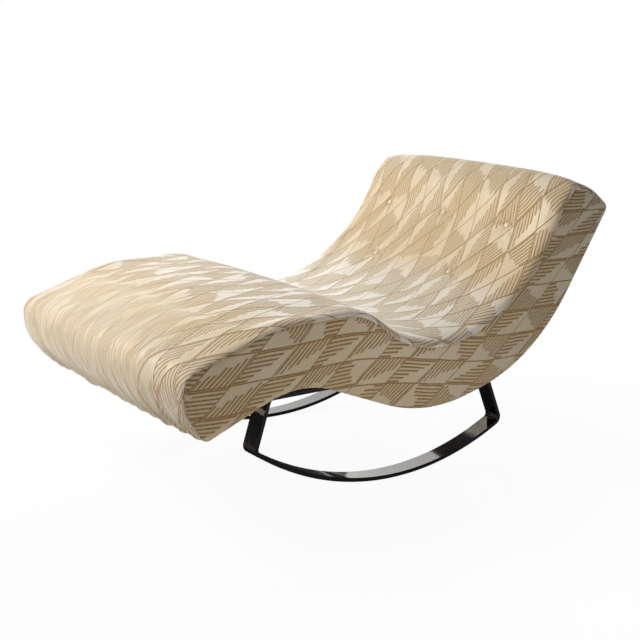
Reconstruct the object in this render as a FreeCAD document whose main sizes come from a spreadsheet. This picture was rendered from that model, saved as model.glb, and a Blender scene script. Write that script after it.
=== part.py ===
import FreeCAD, Part
import math
import os

# Rocking chaise lounge: a wave-shaped upholstered body on two closed loops of polished flat bar.
# Millimetres. X runs across the width, Y from the foot to the head, Z up, with the floor at Z = 0.
# The side view is drawn from the foot: Y = 0 there is the nose of the foot end. The last steps roll
# the whole chaise until it balances and move the origin under its middle.

V = FreeCAD.Vector
doc = FreeCAD.newDocument("rocking_chaise")

# The corners of the side view at the cover's side seam, each with the radius that rounds it, and
# the name of the edge that follows it. They go round clockwise, starting under the foot end.
BODY_CORNERS = [
    ("foot_low", 55, 338, 20, "foot"),
    ("foot_bulge", 0, 418, 140, "foot"),
    ("nose", 0, 507, 15, "leg"),
    ("knee_front", 258, 573, 384, "leg"),
    ("knee_rear", 540, 561, 211, "seat"),
    ("seat_front", 814, 347, 401, "seat"),
    ("seat_rear", 1247, 533, 624, "back"),
    ("head_front", 1374, 792, 14, "head"),
    ("head_back", 1577, 716, 12, "under"),
    ("belly_rear", 1255, 277, 575, "under"),
    ("belly_front", 787, 217, 601, "under"),
    ("arch", 336, 424, 293, "under"),
]

SIZES = [
    ("body_width", 813, "over the side covers"),
    ("cover_thickness", 1.5, "upholstery fabric with its backing"),
    ("cover_gap", 0.3, "between one curved layer and the next"),
    ("cover_end_trim", 3, "top cover short of the crown's two ends"),
    ("foam_end_trim", 4, "foam's crown short of the same ends"),
    ("side_pad_thickness", 10, "foam sheet on the outside of each side panel"),
    ("side_pad_inset", 2.5, "side foam sheet in from the seam"),
    ("panel_thickness", 18, "plywood side panels"),
    ("leg_pad_thickness", 25, "foam under the legs, from the side seam down to the webbing"),
    ("seat_pad_thickness", 45, "the same from the knee to the back"),
    ("back_pad_thickness", 75, "the same behind the back"),
    ("foot_pad_thickness", 25, "foam on the foot end"),
    ("head_pad_thickness", 40, "foam on the head end"),
    ("liner_thickness", 1.2, "burlap between webbing and foam"),
    ("strap_thickness", 1.8, "elastic webbing"),
    ("strap_width", 50, "elastic webbing"),
    ("leg_strap_count", 7, "straps under the calves and the knee"),
    ("seat_strap_count", 8, "straps under the seat"),
    ("back_strap_count", 8, "straps behind the back"),
    ("leg_strap_start", 60, "first strap of the leg, along the frame's top edge"),
    ("seat_strap_start", 590, "first strap of the seat, along the same edge"),
    ("back_strap_start", 1110, "first strap of the back, along the same edge"),
    ("leg_strap_pitch", 76, "from strap to strap"),
    ("seat_strap_pitch", 66, "from strap to strap"),
    ("back_strap_pitch", 60, "from strap to strap"),
    ("crown", 46, "pad's middle above the side seam"),
    ("crown_at_end", 3, "the same where the pad meets the underside"),
    ("crown_run_foot", 300, "length over which the crown rises from the foot"),
    ("crown_run_head", 300, "length over which it falls to the head"),
    ("section_step", 90, "most between two sections of the crown"),
    ("turn_step", 6, "degrees between sections on a long bend"),
    ("sharp_step", 25, "degrees between sections round the nose and the head"),
    ("edge_radius", 34, "roll of the pad over its long edges"),
    ("edge_share", 0.78, "most of the crown's height that this roll takes up"),
    ("side_draw_in", 3, "top cover drawn in from the body's width at its two ends"),
    ("seam_lap", 1.5, "pad's crown reaches this far below the seam"),
    ("seam_gap", 0.8, "between side cover and top cover, where they are sewn"),
    ("tuft_radius", 70, "ball that shapes the dimple round a button"),
    ("tuft_depth", 9, "dimple's depth"),
    ("upper_tuft_station", 1417, "upper row, along the side seam from the nose"),
    ("upper_tuft_spacing", 257, "upper row of three"),
    ("lower_tuft_station", 1197, "lower row, along the side seam from the nose"),
    ("lower_tuft_spacing", 320, "lower row of two"),
    ("button_radius", 9, "fabric-covered button"),
    ("button_rim", 2, "its straight edge"),
    ("button_rise", 3, "its dome above that edge"),
    ("twine_radius", 1, "tufting twine"),
    ("twine_hole_radius", 1.4, "its way through foam and burlap"),
    ("twine_reach", 120, "below the seam, past the webbing"),
    ("anchor_radius", 12, "fibre washer that holds the twine"),
    ("anchor_thickness", 2, "the same washer"),
    ("under_cover_thickness", 1.5, "fabric and dust cover on the underside"),
    ("under_clearance", 0.5, "between underside cover and plywood"),
    ("back_board_thickness", 18, "two layers of bent plywood, glued"),
    ("back_board_start", 1165, "its lower end, from the nose"),
    ("back_board_end_gap", 75, "its upper end in from the plywood's head end"),
    ("dust_cover_end", 1130, "where the dust cover meets the outside back, from the nose"),
    ("rail_thickness", 22, "cross rails"),
    ("rail_width", 70, "cross rails"),
    ("base_rail_width", 90, "cross rails that carry the loops"),
    ("rail_drop", 4, "cross rails below the frame's top edge"),
    ("foot_rail_reach", 48, "middle of the foot rail up along the foot end"),
    ("end_rail_gap", 3, "end rails in from the plywood's ends"),
    ("knee_rail_station", 300, "along the frame's top edge"),
    ("thigh_rail_station", 560, "along the frame's top edge"),
    ("lumbar_rail_station", 1085, "along the frame's top edge"),
    ("shoulder_rail_station", 1330, "along the frame's top edge"),
    ("head_rail_reach", 78, "middle of the head rail back along the head end"),
    ("block_side", 40, "glue blocks in the rail corners"),
    ("block_length", 50, "the same blocks"),
    ("screw_radius", 2.5, "wood screws"),
    ("screw_length", 50, "wood screws"),
    ("screw_head_radius", 4.6, "countersunk head"),
    ("screw_head_height", 3, "countersunk head"),
    ("screw_pitch", 44, "between the two screws at a rail's end"),
    ("bar_width", 50, "flat bar of the base"),
    ("bar_thickness", 12, "flat bar of the base"),
    ("loop_inset", 90, "from the body's side to the loop's outer edge"),
    ("runner_radius", 1000, "underside of the runner"),
    ("contact_station", 883, "where the runner touches the floor, from the nose"),
    ("runner_front_station", 254, "runner's front corner, from the nose"),
    ("runner_rear_station", 1231, "runner's rear corner, from the nose"),
    ("runner_lead", 40, "from the end of the runner's arc to each corner"),
    ("rail_front_station", 304, "loop's upper front corner, from the nose"),
    ("rail_front_height", 366, "the same corner, above the floor"),
    ("rail_rear_station", 1121, "loop's upper rear corner, from the nose"),
    ("rail_rear_height", 296, "the same corner, above the floor"),
    ("bend_radius", 24, "outside of the loop's lower bends"),
    ("upper_bend_radius", 20, "outside of the loop's upper bends"),
    ("slot_clearance", 3, "dust cover round the loops"),
    ("steel_density", 7850, "kg per cubic metre"),
    ("wood_density", 600, "kg per cubic metre"),
    ("soft_density", 300, "kg per cubic metre, foam and cloth"),
    ("front_bolt_station", 270, "along the loop's top rail from its front corner"),
    ("middle_bolt_station", 500, "along the loop's top rail"),
    ("rear_bolt_station", 730, "along the loop's top rail"),
    ("bolt_radius", 4, "base bolts"),
    ("bolt_hole_radius", 4.3, "their holes in the bar"),
    ("bolt_head_radius", 7.5, "hexagon head, from its middle to a corner"),
    ("bolt_head_height", 5.3, "hexagon head"),
    ("washer_radius", 8, "plain washer"),
    ("washer_thickness", 1.6, "plain washer"),
    ("nut_flange_radius", 11, "tee nut's flange"),
    ("nut_flange_thickness", 1.5, "tee nut's flange"),
    ("nut_barrel_radius", 5.2, "tee nut's barrel"),
    ("nut_barrel_length", 9, "tee nut's barrel"),
]

RAIL_LENGTH = "=body_width - 2 * (cover_thickness + side_pad_thickness + panel_thickness)"

sheet = doc.addObject("Spreadsheet::Sheet", "sizes")
SHEET_ROWS = SIZES + [("rail_length", RAIL_LENGTH, "between the side panels")]
for corner_name, corner_y, corner_z, corner_radius, edge_name in BODY_CORNERS:
    SHEET_ROWS.append((corner_name + "_y", corner_y, "body corner, from the nose"))
    SHEET_ROWS.append((corner_name + "_z", corner_z, "body corner, above the floor"))
    SHEET_ROWS.append((corner_name + "_radius", corner_radius, "its rounding"))
for row, (alias, value, note) in enumerate(SHEET_ROWS, start=1):
    sheet.set("A%d" % row, alias)
    sheet.set("B%d" % row, str(value))
    sheet.set("C%d" % row, note)
    sheet.setAlias("B%d" % row, alias)
doc.recompute()


def size(alias):
    """A driving size, read from the spreadsheet."""
    return float(sheet.get(alias))


class Outline:
    """A closed outline in the side view: corners with radii, and an edge name for each edge."""

    def __init__(self, points, radii, edges):
        self.points = points
        self.radii = radii
        self.edges = edges

    def inset(self, **distances):
        """The outline with each named edge moved inwards (negative: outwards), arcs kept parallel."""
        count = len(self.points)
        lines = []
        for i in range(count):
            a = self.points[i]
            along = (self.points[(i + 1) % count] - a).normalize()
            inward = V(0, along.z, -along.y)
            lines.append((a + inward * distances.get(self.edges[i], 0), along))
        points = []
        radii = []
        for i in range(count):
            (a, u) = lines[i - 1]
            (b, w) = lines[i]
            turn = u.y * w.z - u.z * w.y
            reach = ((b.y - a.y) * w.z - (b.z - a.z) * w.y) / turn
            points.append(a + u * reach)
            before = distances.get(self.edges[i - 1], 0)
            after = distances.get(self.edges[i], 0)
            shift = before if before == after else max(before, after)
            radius = self.radii[i] + (shift if turn > 0 else -shift)
            radii.append(max(radius, 0))
        return Outline(points, radii, self.edges)

    def arcs(self):
        """The rounding of each corner, as (start, middle, end, centre or None for a sharp corner)."""
        count = len(self.points)
        result = []
        for i in range(count):
            corner = self.points[i]
            u = (corner - self.points[i - 1]).normalize()
            w = (self.points[(i + 1) % count] - corner).normalize()
            turn = math.atan2(u.y * w.z - u.z * w.y, u.dot(w))
            cut = self.radii[i] * math.tan(abs(turn) / 2)
            start = corner - u * cut
            end = corner + w * cut
            centre = None
            middle = corner
            if self.radii[i] > 0:
                centre = start + V(0, -u.z, u.y) * math.copysign(self.radii[i], turn)
                middle = centre + (corner - centre).normalize() * self.radii[i]
            result.append((start, middle, end, centre))
        return result

    def pieces_between(self, first, last):
        """Its lines and arcs from the end of one corner's rounding to the start of another's."""
        count = len(self.points)
        arcs = self.arcs()
        result = []
        i = first
        while True:
            start = arcs[i][2]
            following = arcs[(i + 1) % count]
            if (following[0] - start).Length > 0.001:
                result.append((start, (start + following[0]) * 0.5, following[0], None))
            i = (i + 1) % count
            if i == last:
                return result
            if following[3] is not None:
                result.append(following)

    def pieces(self):
        """All its lines and arcs in order, each as (start, middle, end, arc centre or None)."""
        result = self.pieces_between(0, 0)
        first_arc = self.arcs()[0]
        if first_arc[3] is not None:
            result.insert(0, first_arc)
        return result

    def curves(self, x=0.0):
        """Its lines and arcs as geometry in the plane at x."""
        shift = V(x, 0, 0)
        result = []
        for start, middle, end, centre in self.pieces():
            if centre is None:
                result.append(Part.LineSegment(start + shift, end + shift))
            else:
                result.append(Part.Arc(start + shift, middle + shift, end + shift))
        return result

    def prism(self, x_low, x_high):
        """The solid between two planes across the width."""
        wire = Part.Wire([curve.toShape() for curve in self.curves(x_low)])
        return Part.Face(wire).extrude(V(x_high - x_low, 0, 0))


def piece_length(piece):
    """Length of one line or arc."""
    start, middle, end, centre = piece
    if centre is None:
        return (end - start).Length
    radius = (start - centre).Length
    return 2 * radius * math.asin((end - start).Length / (2 * radius))


def station_at(route, distance):
    """Point and outward direction at a distance along a route of lines and arcs."""
    for index, piece in enumerate(route):
        length = piece_length(piece)
        if distance <= length or index == len(route) - 1:
            break
        distance -= length
    start, middle, end, centre = piece
    if centre is None:
        along = (end - start).normalize()
        return start + along * distance, V(0, -along.z, along.y)
    arm = start - centre
    turns_left = arm.cross(end - start).x > 0
    angle = distance / arm.Length * (1 if turns_left else -1)
    spun = FreeCAD.Rotation(V(1, 0, 0), math.degrees(angle)).multVec(arm)
    outward = spun.normalize()
    if turns_left:
        outward = outward * -1
    return centre + spun.normalize() * arm.Length, outward


body_outline = Outline(
    [V(0, size(c[0] + "_y"), size(c[0] + "_z")) for c in BODY_CORNERS],
    [size(c[0] + "_radius") for c in BODY_CORNERS],
    [c[4] for c in BODY_CORNERS],
)
CORNER = {c[0]: i for i, c in enumerate(BODY_CORNERS)}

half_width = size("body_width") / 2

# How far a cutting shape runs past what it cuts: a little, well clear, or past the whole chaise.
overrun = 1.0
overshoot = 60.0
far = 3000.0

cover = size("cover_thickness")
gap = size("cover_gap")
side_pad_face = half_width - cover
panel_face = side_pad_face - size("side_pad_thickness")
panel_inside = panel_face - size("panel_thickness")
strap_depth = size("liner_thickness")
frame_depth = strap_depth + size("strap_thickness")
under_level = size("under_cover_thickness") + size("under_clearance")



def pad_insets(depth, ends=0.0):
    """Insets that follow the pad's underside, a depth below it on top and further out at both ends."""
    insets = {zone: size(zone + "_pad_thickness") + depth for zone in ("leg", "seat", "back")}
    insets["foot"] = size("foot_pad_thickness") - ends
    insets["head"] = size("head_pad_thickness") - ends
    return insets


def seam_insets(distance):
    """One inset for every edge that the top cover runs over."""
    return {edge: distance for edge in ("foot", "leg", "seat", "back", "head")}


def block_before(station):
    """A block that holds everything nearer the foot than a station."""
    return Part.makeBox(2 * far, far, far, V(-far, station - far, -far / 2))


# The plywood's outline lies inside the body's: below foam, burlap and webbing on top, inside the
# end foam at both ends, and above the underside cover.
frame_outline = body_outline.inset(under=under_level, **pad_insets(frame_depth))
frame_top = frame_outline.pieces_between(CORNER["nose"], CORNER["head_front"])
seam_top = body_outline.pieces_between(CORNER["nose"], CORNER["head_front"])

parts = []


def add_part(name, thing):
    """Files an object under the name of its node."""
    thing.Label = name
    parts.append((name, thing))
    return thing


def add_shape(name, shape, placement=None):
    """A piece that neither a body's features nor a primitive can make, with its own shape."""
    thing = doc.addObject("Part::Feature", name + "_shape")
    thing.Shape = shape
    if placement is not None:
        thing.Placement = placement
    return thing


def sketched_body(name, outlines, width_alias, x_low):
    """A body whose side view is sketched and padded across the width."""
    body = doc.addObject("PartDesign::Body", name + "_body")
    sketch = body.newObject("Sketcher::SketchObject", name + "_sketch")
    plane = [f for f in body.Origin.OriginFeatures if f.Role == "YZ_Plane"][0]
    sketch.AttachmentSupport = [(plane, "")]
    sketch.MapMode = "FlatFace"
    for outline in outlines:
        for start, middle, end, centre in outline.pieces():
            flat = [V(p.y, p.z, 0) for p in (start, middle, end)]
            if centre is None:
                sketch.addGeometry(Part.LineSegment(flat[0], flat[2]), False)
            else:
                sketch.addGeometry(Part.Arc(flat[0], flat[1], flat[2]), False)
    pad = body.newObject("PartDesign::Pad", name + "_pad")
    pad.Profile = sketch
    pad.setExpression("Length", "sizes." + width_alias)
    body.Placement = FreeCAD.Placement(V(x_low, 0, 0), FreeCAD.Rotation())
    return body


def tilted(point, outward):
    """Placement with local Z along the outward direction and local X across the width."""
    turn = math.degrees(math.atan2(-outward.y, outward.z))
    return FreeCAD.Placement(point, FreeCAD.Rotation(V(1, 0, 0), turn))


def cut(name, base, tools):
    """A boolean cut that stays in the document."""
    thing = doc.addObject("Part::Cut", name)
    thing.Base = base
    if len(tools) == 1:
        thing.Tool = tools[0]
    else:
        union = doc.addObject("Part::MultiFuse", name + "_tools")
        union.Shapes = tools
        thing.Tool = union
    return thing


# Cross rails: boards between the side panels. Each is placed by its middle and the direction in
# which its broad face looks.
def rail_on_top(station_alias):
    point, outward = station_at(frame_top, size(station_alias))
    middle = point - outward * (size("rail_drop") + size("rail_thickness") / 2)
    return middle, outward


def end_rail(corner, neighbour, reach):
    """A rail that lies along the foot end or the head end of the plywood."""
    start = frame_outline.points[CORNER[corner]]
    along = (frame_outline.points[CORNER[neighbour]] - start).normalize()
    outward = V(0, -along.z, along.y)
    inwards = size("end_rail_gap") + size("rail_thickness") / 2
    return start + along * reach - outward * inwards, outward


runner_centre = V(0, size("contact_station"), size("runner_radius"))


def runner_tangent(station):
    """Angle from the runner's lowest point to a station along its arc."""
    return math.asin((station - runner_centre.y) / runner_centre.z)


# The loop's outline: the runner's arc is the rounding of one corner, where the tangents at the two
# ends of the arc meet.
front_angle = runner_tangent(size("runner_front_station") + size("runner_lead"))
rear_angle = runner_tangent(size("runner_rear_station") - size("runner_lead"))


def on_tangent(angle, station):
    """Point on the runner's tangent at an angle, at a given station."""
    touch = runner_centre + V(0, math.sin(angle), -math.cos(angle)) * size("runner_radius")
    return V(0, station, touch.z + (station - touch.y) * math.tan(angle))


half_angle = (rear_angle - front_angle) / 2
middle_angle = (rear_angle + front_angle) / 2
apex_arm = size("runner_radius") / math.cos(half_angle)
apex = runner_centre + V(0, math.sin(middle_angle), -math.cos(middle_angle)) * apex_arm
loop_outline = Outline(
    [
        on_tangent(front_angle, size("runner_front_station")),
        V(0, size("rail_front_station"), size("rail_front_height")),
        V(0, size("rail_rear_station"), size("rail_rear_height")),
        on_tangent(rear_angle, size("runner_rear_station")),
        apex,
    ],
    [
        size("bend_radius"),
        size("upper_bend_radius"),
        size("upper_bend_radius"),
        size("bend_radius"),
        size("runner_radius"),
    ],
    ["bar"] * 5,
)
loop_hollow = loop_outline.inset(bar=size("bar_thickness"))
loop_rail_start = loop_outline.points[1]
loop_rail_along = (loop_outline.points[2] - loop_rail_start).normalize()
loop_rail_up = V(0, -loop_rail_along.z, loop_rail_along.y)


def base_rail(bolt_alias):
    """A rail that lies face to face on the loops' top rails, over one pair of bolts."""
    foot = loop_rail_start + loop_rail_along * size(bolt_alias)
    return foot + loop_rail_up * (size("rail_thickness") / 2), loop_rail_up


RAILS = [
    ("rail_foot", "rail_width", end_rail("foot_low", "foot_bulge", size("foot_rail_reach"))),
    ("rail_knee", "rail_width", rail_on_top("knee_rail_station")),
    ("rail_thigh", "rail_width", rail_on_top("thigh_rail_station")),
    ("rail_base_front", "base_rail_width", base_rail("front_bolt_station")),
    ("rail_base_middle", "base_rail_width", base_rail("middle_bolt_station")),
    ("rail_base_rear", "base_rail_width", base_rail("rear_bolt_station")),
    ("rail_lumbar", "rail_width", rail_on_top("lumbar_rail_station")),
    ("rail_shoulder", "rail_width", rail_on_top("shoulder_rail_station")),
    ("rail_head", "rail_width", end_rail("head_front", "head_back", size("head_rail_reach"))),
]

def centred_box(name, width_alias, middle, outward):
    """A rail's stock: length across the chaise, width along the wave, thickness outwards."""
    box = doc.addObject("Part::Box", name)
    box.setExpression("Length", "sizes.rail_length")
    box.setExpression("Width", "sizes." + width_alias)
    box.setExpression("Height", "sizes.rail_thickness")
    place = tilted(middle, outward)
    corner = V(-size("rail_length") / 2, -size(width_alias) / 2, -size("rail_thickness") / 2)
    box.Placement = FreeCAD.Placement(place.multVec(corner), place.Rotation)
    return box


# Wood screws: through each side panel into the end of every rail, two to an end.
def wood_screw(side, point):
    """A countersunk screw, its head flush with the panel's outer face."""
    inward = V(-side, 0, 0)
    outer = V(side * panel_face, point.y, point.z)
    head = Part.makeCone(
        size("screw_head_radius"), size("screw_radius"), size("screw_head_height"), outer, inward
    )
    shank_start = outer + inward * size("screw_head_height")
    shank_length = size("screw_length") - size("screw_head_height")
    return head.fuse(Part.makeCylinder(size("screw_radius"), shank_length, shank_start, inward))


screws = []
for rail_name, width_alias, (middle, outward) in RAILS:
    along = V(0, outward.z, -outward.y)
    for side in (-1, 1):
        for offset in (-size("screw_pitch") / 2, size("screw_pitch") / 2):
            screws.append(wood_screw(side, middle + along * offset))
frame_screws = add_shape("frame_screws", Part.makeCompound(screws))

# Base bolts: up through the loop's top rail and the rail above it into a tee nut.
loop_middle = half_width - size("loop_inset") - size("bar_width") / 2
BOLT_PLACES = []
for side in (-1, 1):
    for station_alias in ("front_bolt_station", "middle_bolt_station", "rear_bolt_station"):
        seat = loop_rail_start + loop_rail_along * size(station_alias)
        BOLT_PLACES.append(seat + V(side * loop_middle, 0, 0))


def along_bolt(radius, low, high):
    """Cylinders on every bolt's axis, between two heights above the loop's top rail."""
    return [
        Part.makeCylinder(radius, high - low, place + loop_rail_up * low, loop_rail_up)
        for place in BOLT_PLACES
    ]


rail_top = size("rail_thickness")
bar_bottom = -size("bar_thickness")
washer_bottom = bar_bottom - size("washer_thickness")
head_bottom = washer_bottom - size("bolt_head_height")
barrel_bottom = rail_top - size("nut_barrel_length")
flange_top = rail_top + size("nut_flange_thickness")


HEXAGON_SIDES = 6


def hexagon_heads():
    """Hexagon heads below the washers."""
    heads = []
    for place in BOLT_PLACES:
        corners = []
        for step in range(HEXAGON_SIDES + 1):
            angle = 2 * math.pi * step / HEXAGON_SIDES
            arm = V(math.cos(angle), 0, 0) - loop_rail_along * math.sin(angle)
            corners.append(place + loop_rail_up * head_bottom + arm * size("bolt_head_radius"))
        head = Part.Face(Part.makePolygon(corners))
        heads.append(head.extrude(loop_rail_up * size("bolt_head_height")))
    return heads


shanks = along_bolt(size("bolt_radius"), washer_bottom, flange_top)
bolts = [shank.fuse(head).removeSplitter() for shank, head in zip(shanks, hexagon_heads())]
washers = [
    disc.cut(hole)
    for disc, hole in zip(
        along_bolt(size("washer_radius"), washer_bottom, bar_bottom),
        along_bolt(size("bolt_hole_radius"), washer_bottom, bar_bottom),
    )
]
nut_blanks = [
    flange.fuse(barrel)
    for flange, barrel in zip(
        along_bolt(size("nut_flange_radius"), rail_top, flange_top),
        along_bolt(size("nut_barrel_radius"), barrel_bottom, rail_top),
    )
]
nuts = [
    blank.cut(hole)
    for blank, hole in zip(nut_blanks, along_bolt(size("bolt_radius"), barrel_bottom, flange_top))
]
rail_bores = add_shape(
    "rail_bores",
    Part.makeCompound(
        [
            bore.fuse(socket)
            for bore, socket in zip(
                along_bolt(size("bolt_hole_radius"), -overrun, rail_top + overrun),
                along_bolt(size("nut_barrel_radius"), barrel_bottom, rail_top + overrun),
            )
        ]
    ),
)
bar_bores = add_shape(
    "bar_bores",
    Part.makeCompound(along_bolt(size("bolt_hole_radius"), bar_bottom - overrun, overrun)),
)

# Side panels, with the screws' countersunk holes.
for side_name, x_low in (("left", -panel_face), ("right", panel_inside)):
    panel = sketched_body("side_panel_" + side_name, [frame_outline], "panel_thickness", x_low)
    add_part("side_panel_" + side_name, cut("side_panel_" + side_name, panel, [frame_screws]))

for rail_name, width_alias, (middle, outward) in RAILS:
    stock = centred_box(rail_name + "_stock", width_alias, middle, outward)
    tools = [frame_screws, rail_bores] if width_alias == "base_rail_width" else [frame_screws]
    add_part(rail_name, cut(rail_name, stock, tools))

# The back board closes the frame behind the back and stiffens it: bent plywood along its underside.
board_stock = frame_outline.inset(head=size("back_board_end_gap")).prism(-panel_inside, panel_inside)
board_inside = frame_outline.inset(under=size("back_board_thickness"), **seam_insets(-overshoot))
back_board = board_stock.cut(board_inside.prism(-half_width, half_width))
back_board = back_board.cut(block_before(size("back_board_start")))
add_part("back_board", add_shape("back_board", back_board))

# Glue blocks: a three-cornered block under each free rail at each side panel.
blocks = []
for rail_name, width_alias, (middle, outward) in RAILS:
    if rail_name.startswith("rail_base"):
        continue
    along = V(0, outward.z, -outward.y)
    for side in (-1, 1):
        corner = middle - outward * (size("rail_thickness") / 2) - along * (size("block_length") / 2)
        corner = corner + V(side * panel_inside, 0, 0)
        triangle = Part.makePolygon(
            [
                corner,
                corner - V(side * size("block_side"), 0, 0),
                corner - outward * size("block_side"),
                corner,
            ]
        )
        blocks.append(Part.Face(triangle).extrude(along * size("block_length")))
add_part("corner_blocks", add_shape("corner_blocks", Part.makeCompound(blocks)))
add_part("frame_screws", frame_screws)

# The base: two closed loops of flat bar.
for side_name, side in (("left", -1), ("right", 1)):
    x_low = side * loop_middle - size("bar_width") / 2
    ring = sketched_body("base_loop_" + side_name, [loop_outline, loop_hollow], "bar_width", x_low)
    add_part("base_loop_" + side_name, cut("base_loop_" + side_name, ring, [bar_bores]))
add_part("base_bolts", add_shape("base_bolts", Part.makeCompound(bolts)))
add_part("base_washers", add_shape("base_washers", Part.makeCompound(washers)))
add_part("base_tee_nuts", add_shape("base_tee_nuts", Part.makeCompound(nuts)))


# The pad's crown: sections across the width at stations along the seam, from the underside of the
# foot end, over the nose, the knee, the seat and the back, to the underside of the head end.
crown_route = body_outline.pieces_between(CORNER["foot_low"], CORNER["head_back"])
route_length = sum(piece_length(piece) for piece in crown_route)


def ease(share):
    """Rises smoothly from 0 to 1."""
    return math.sin(math.pi / 2 * min(max(share, 0), 1))


def crown_height(distance):
    """Height of the pad's middle above the seam."""
    rise = ease(distance / size("crown_run_foot")) * ease(
        (route_length - distance) / size("crown_run_head")
    )
    return size("crown_at_end") + (size("crown") - size("crown_at_end")) * rise


def crown_half_width(distance):
    """Half the top cover's width: drawn in towards the two ends."""
    rise = ease(distance / size("crown_run_foot")) * ease(
        (route_length - distance) / size("crown_run_head")
    )
    return half_width - size("side_draw_in") * (1 - rise)


def crown_section(distance, skin, lap):
    """Closed section of the crown, with its surface a skin's thickness below the cover's face."""
    base, outward = station_at(crown_route, distance)
    height = crown_height(distance) - skin
    wide = crown_half_width(distance) - skin
    roll = min(size("edge_radius") - skin, size("edge_share") * height)
    lean = 2 * (height - roll) / (wide - roll)
    shoulder = (wide - roll + roll * math.sin(lean), roll * math.cos(lean))
    half_turn = (math.pi / 2 - lean) / 2
    knuckle = (wide - roll + roll * math.cos(half_turn), roll * math.sin(half_turn))

    def at(x, level):
        return V(x, 0, 0) + base + outward * level

    right = [at(wide, -lap), at(wide, 0), at(*knuckle), at(*shoulder)]
    left = [at(-wide, -lap), at(-wide, 0), at(-knuckle[0], knuckle[1]), at(-shoulder[0], shoulder[1])]
    top = at(0, height)
    edges = [
        Part.LineSegment(left[0], right[0]),
        Part.Arc(right[1], right[2], right[3]),
        Part.Arc(right[3], top, left[3]),
        Part.Arc(left[3], left[2], left[1]),
    ]
    if lap > 0:
        edges.insert(1, Part.LineSegment(right[0], right[1]))
        edges.append(Part.LineSegment(left[1], left[0]))
    return Part.Wire([edge.toShape() for edge in edges])


def crown_stations():
    """Distances along the route where the crown gets a section."""
    stations = []
    travelled = 0.0
    for piece in crown_route:
        length = piece_length(piece)
        start, middle, end, centre = piece
        step_count = max(1, round(length / size("section_step")))
        if centre is not None:
            turned = math.degrees(length / (start - centre).Length)
            sharp = (start - centre).Length < size("edge_radius")
            step_count = max(step_count, round(turned / size("sharp_step" if sharp else "turn_step")))
        for step in range(step_count):
            stations.append(travelled + length * step / step_count)
        travelled += length
    return stations + [travelled]


def crown_solid(skin, lap, end_trim):
    """The crown as a ruled loft through its sections, stopping a little short of both ends."""
    stations = crown_stations()
    stations[0] += end_trim
    stations[-1] -= end_trim
    wires = [crown_section(distance, skin, lap) for distance in stations]
    return Part.makeLoft(wires, True, True)


# Buttons: two staggered rows, each button at the bottom of a ball-shaped dimple.
TUFTS = []
for x in (-size("upper_tuft_spacing"), 0, size("upper_tuft_spacing")):
    TUFTS.append((x, size("upper_tuft_station")))
for x in (-size("lower_tuft_spacing") / 2, size("lower_tuft_spacing") / 2):
    TUFTS.append((x, size("lower_tuft_station")))


def tuft_point(x, station, level):
    """Point of a tuft's axis at a level above the side seam."""
    base, outward = station_at(seam_top, station)
    return base + outward * level + V(x, 0, 0), outward


def crown_level(x):
    """Height of the cover's face above the seam, away from its ends, at a distance from the middle."""
    flat = half_width - size("edge_radius")
    return size("crown") - (size("crown") - size("edge_radius")) * (x / flat) ** 2


def dimples(skin):
    """Balls that press the tufts into a layer."""
    balls = []
    for x, station in TUFTS:
        floor = crown_level(x) - size("tuft_depth")
        centre, outward = tuft_point(x, station, floor + size("tuft_radius"))
        balls.append(Part.makeSphere(size("tuft_radius") + skin, centre))
    return balls


def twine_holes(radius, low, high):
    """Cylinders on the tufts' axes between two levels."""
    result = []
    for x, station in TUFTS:
        foot, outward = tuft_point(x, station, low)
        result.append(Part.makeCylinder(radius, high - low, foot, outward))
    return result


# Layers on the frame's top edge follow the pad's underside, each between two depths below it.
def top_layer(depth_out, depth_in, x_half):
    """The layer between two depths below the pad, over the top of the frame only."""
    outer = body_outline.inset(under=under_level, **pad_insets(depth_out))
    inner = body_outline.inset(under=under_level - overshoot, **pad_insets(depth_in, overshoot))
    return outer.prism(-x_half, x_half).cut(inner.prism(-x_half - overrun, x_half + overrun))


liner = top_layer(0, strap_depth, panel_face)
liner = liner.cut(twine_holes(size("twine_hole_radius"), -size("twine_reach"), 0))
add_part("burlap_liner", add_shape("burlap_liner", liner))
webbing = top_layer(strap_depth, frame_depth, panel_face)
webbing = webbing.cut(twine_holes(size("twine_hole_radius"), -size("twine_reach"), 0))


def straps(prefix):
    """Straps of one zone, each a short stretch of the webbing layer."""
    result = []
    for index in range(int(size(prefix + "_strap_count"))):
        distance = size(prefix + "_strap_start") + index * size(prefix + "_strap_pitch")
        point, outward = station_at(frame_top, distance)
        corner = V(-half_width, -size("strap_width") / 2, -overshoot / 2)
        block = Part.makeBox(2 * half_width, size("strap_width"), overshoot, corner)
        block.Placement = tilted(point, outward)
        result.append(webbing.common(block))
    return result


for zone in ("leg", "seat", "back"):
    zone_straps = Part.makeCompound(straps(zone))
    add_part("webbing_" + zone, add_shape("webbing_" + zone, zone_straps))


foam_skin = cover + gap
foam_crown = crown_solid(foam_skin, size("seam_lap"), size("foam_end_trim"))
foam_core_outer = body_outline.inset(under=under_level)
foam_core_inner = body_outline.inset(under=-overshoot, **pad_insets(0, gap))
foam_core = foam_core_outer.prism(-panel_face, panel_face).cut(
    foam_core_inner.prism(-half_width, half_width)
)
foam = foam_core.fuse(foam_crown)
foam = foam.cut(dimples(foam_skin))
foam = foam.cut(twine_holes(size("twine_hole_radius"), -size("twine_reach"), 2 * size("crown")))
add_part("foam_pad", add_shape("foam_pad", foam))

cover_outer = crown_solid(0, 0, size("cover_end_trim")).cut(dimples(0))
cover_inner = crown_solid(cover, 2 * cover, size("cover_end_trim") - overrun).cut(dimples(cover))
cover_shell = cover_outer.cut(cover_inner)
cover_shell = cover_shell.cut(twine_holes(size("twine_hole_radius"), 0, 2 * size("crown")))
add_part("top_cover", add_shape("top_cover", cover_shell))

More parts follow.
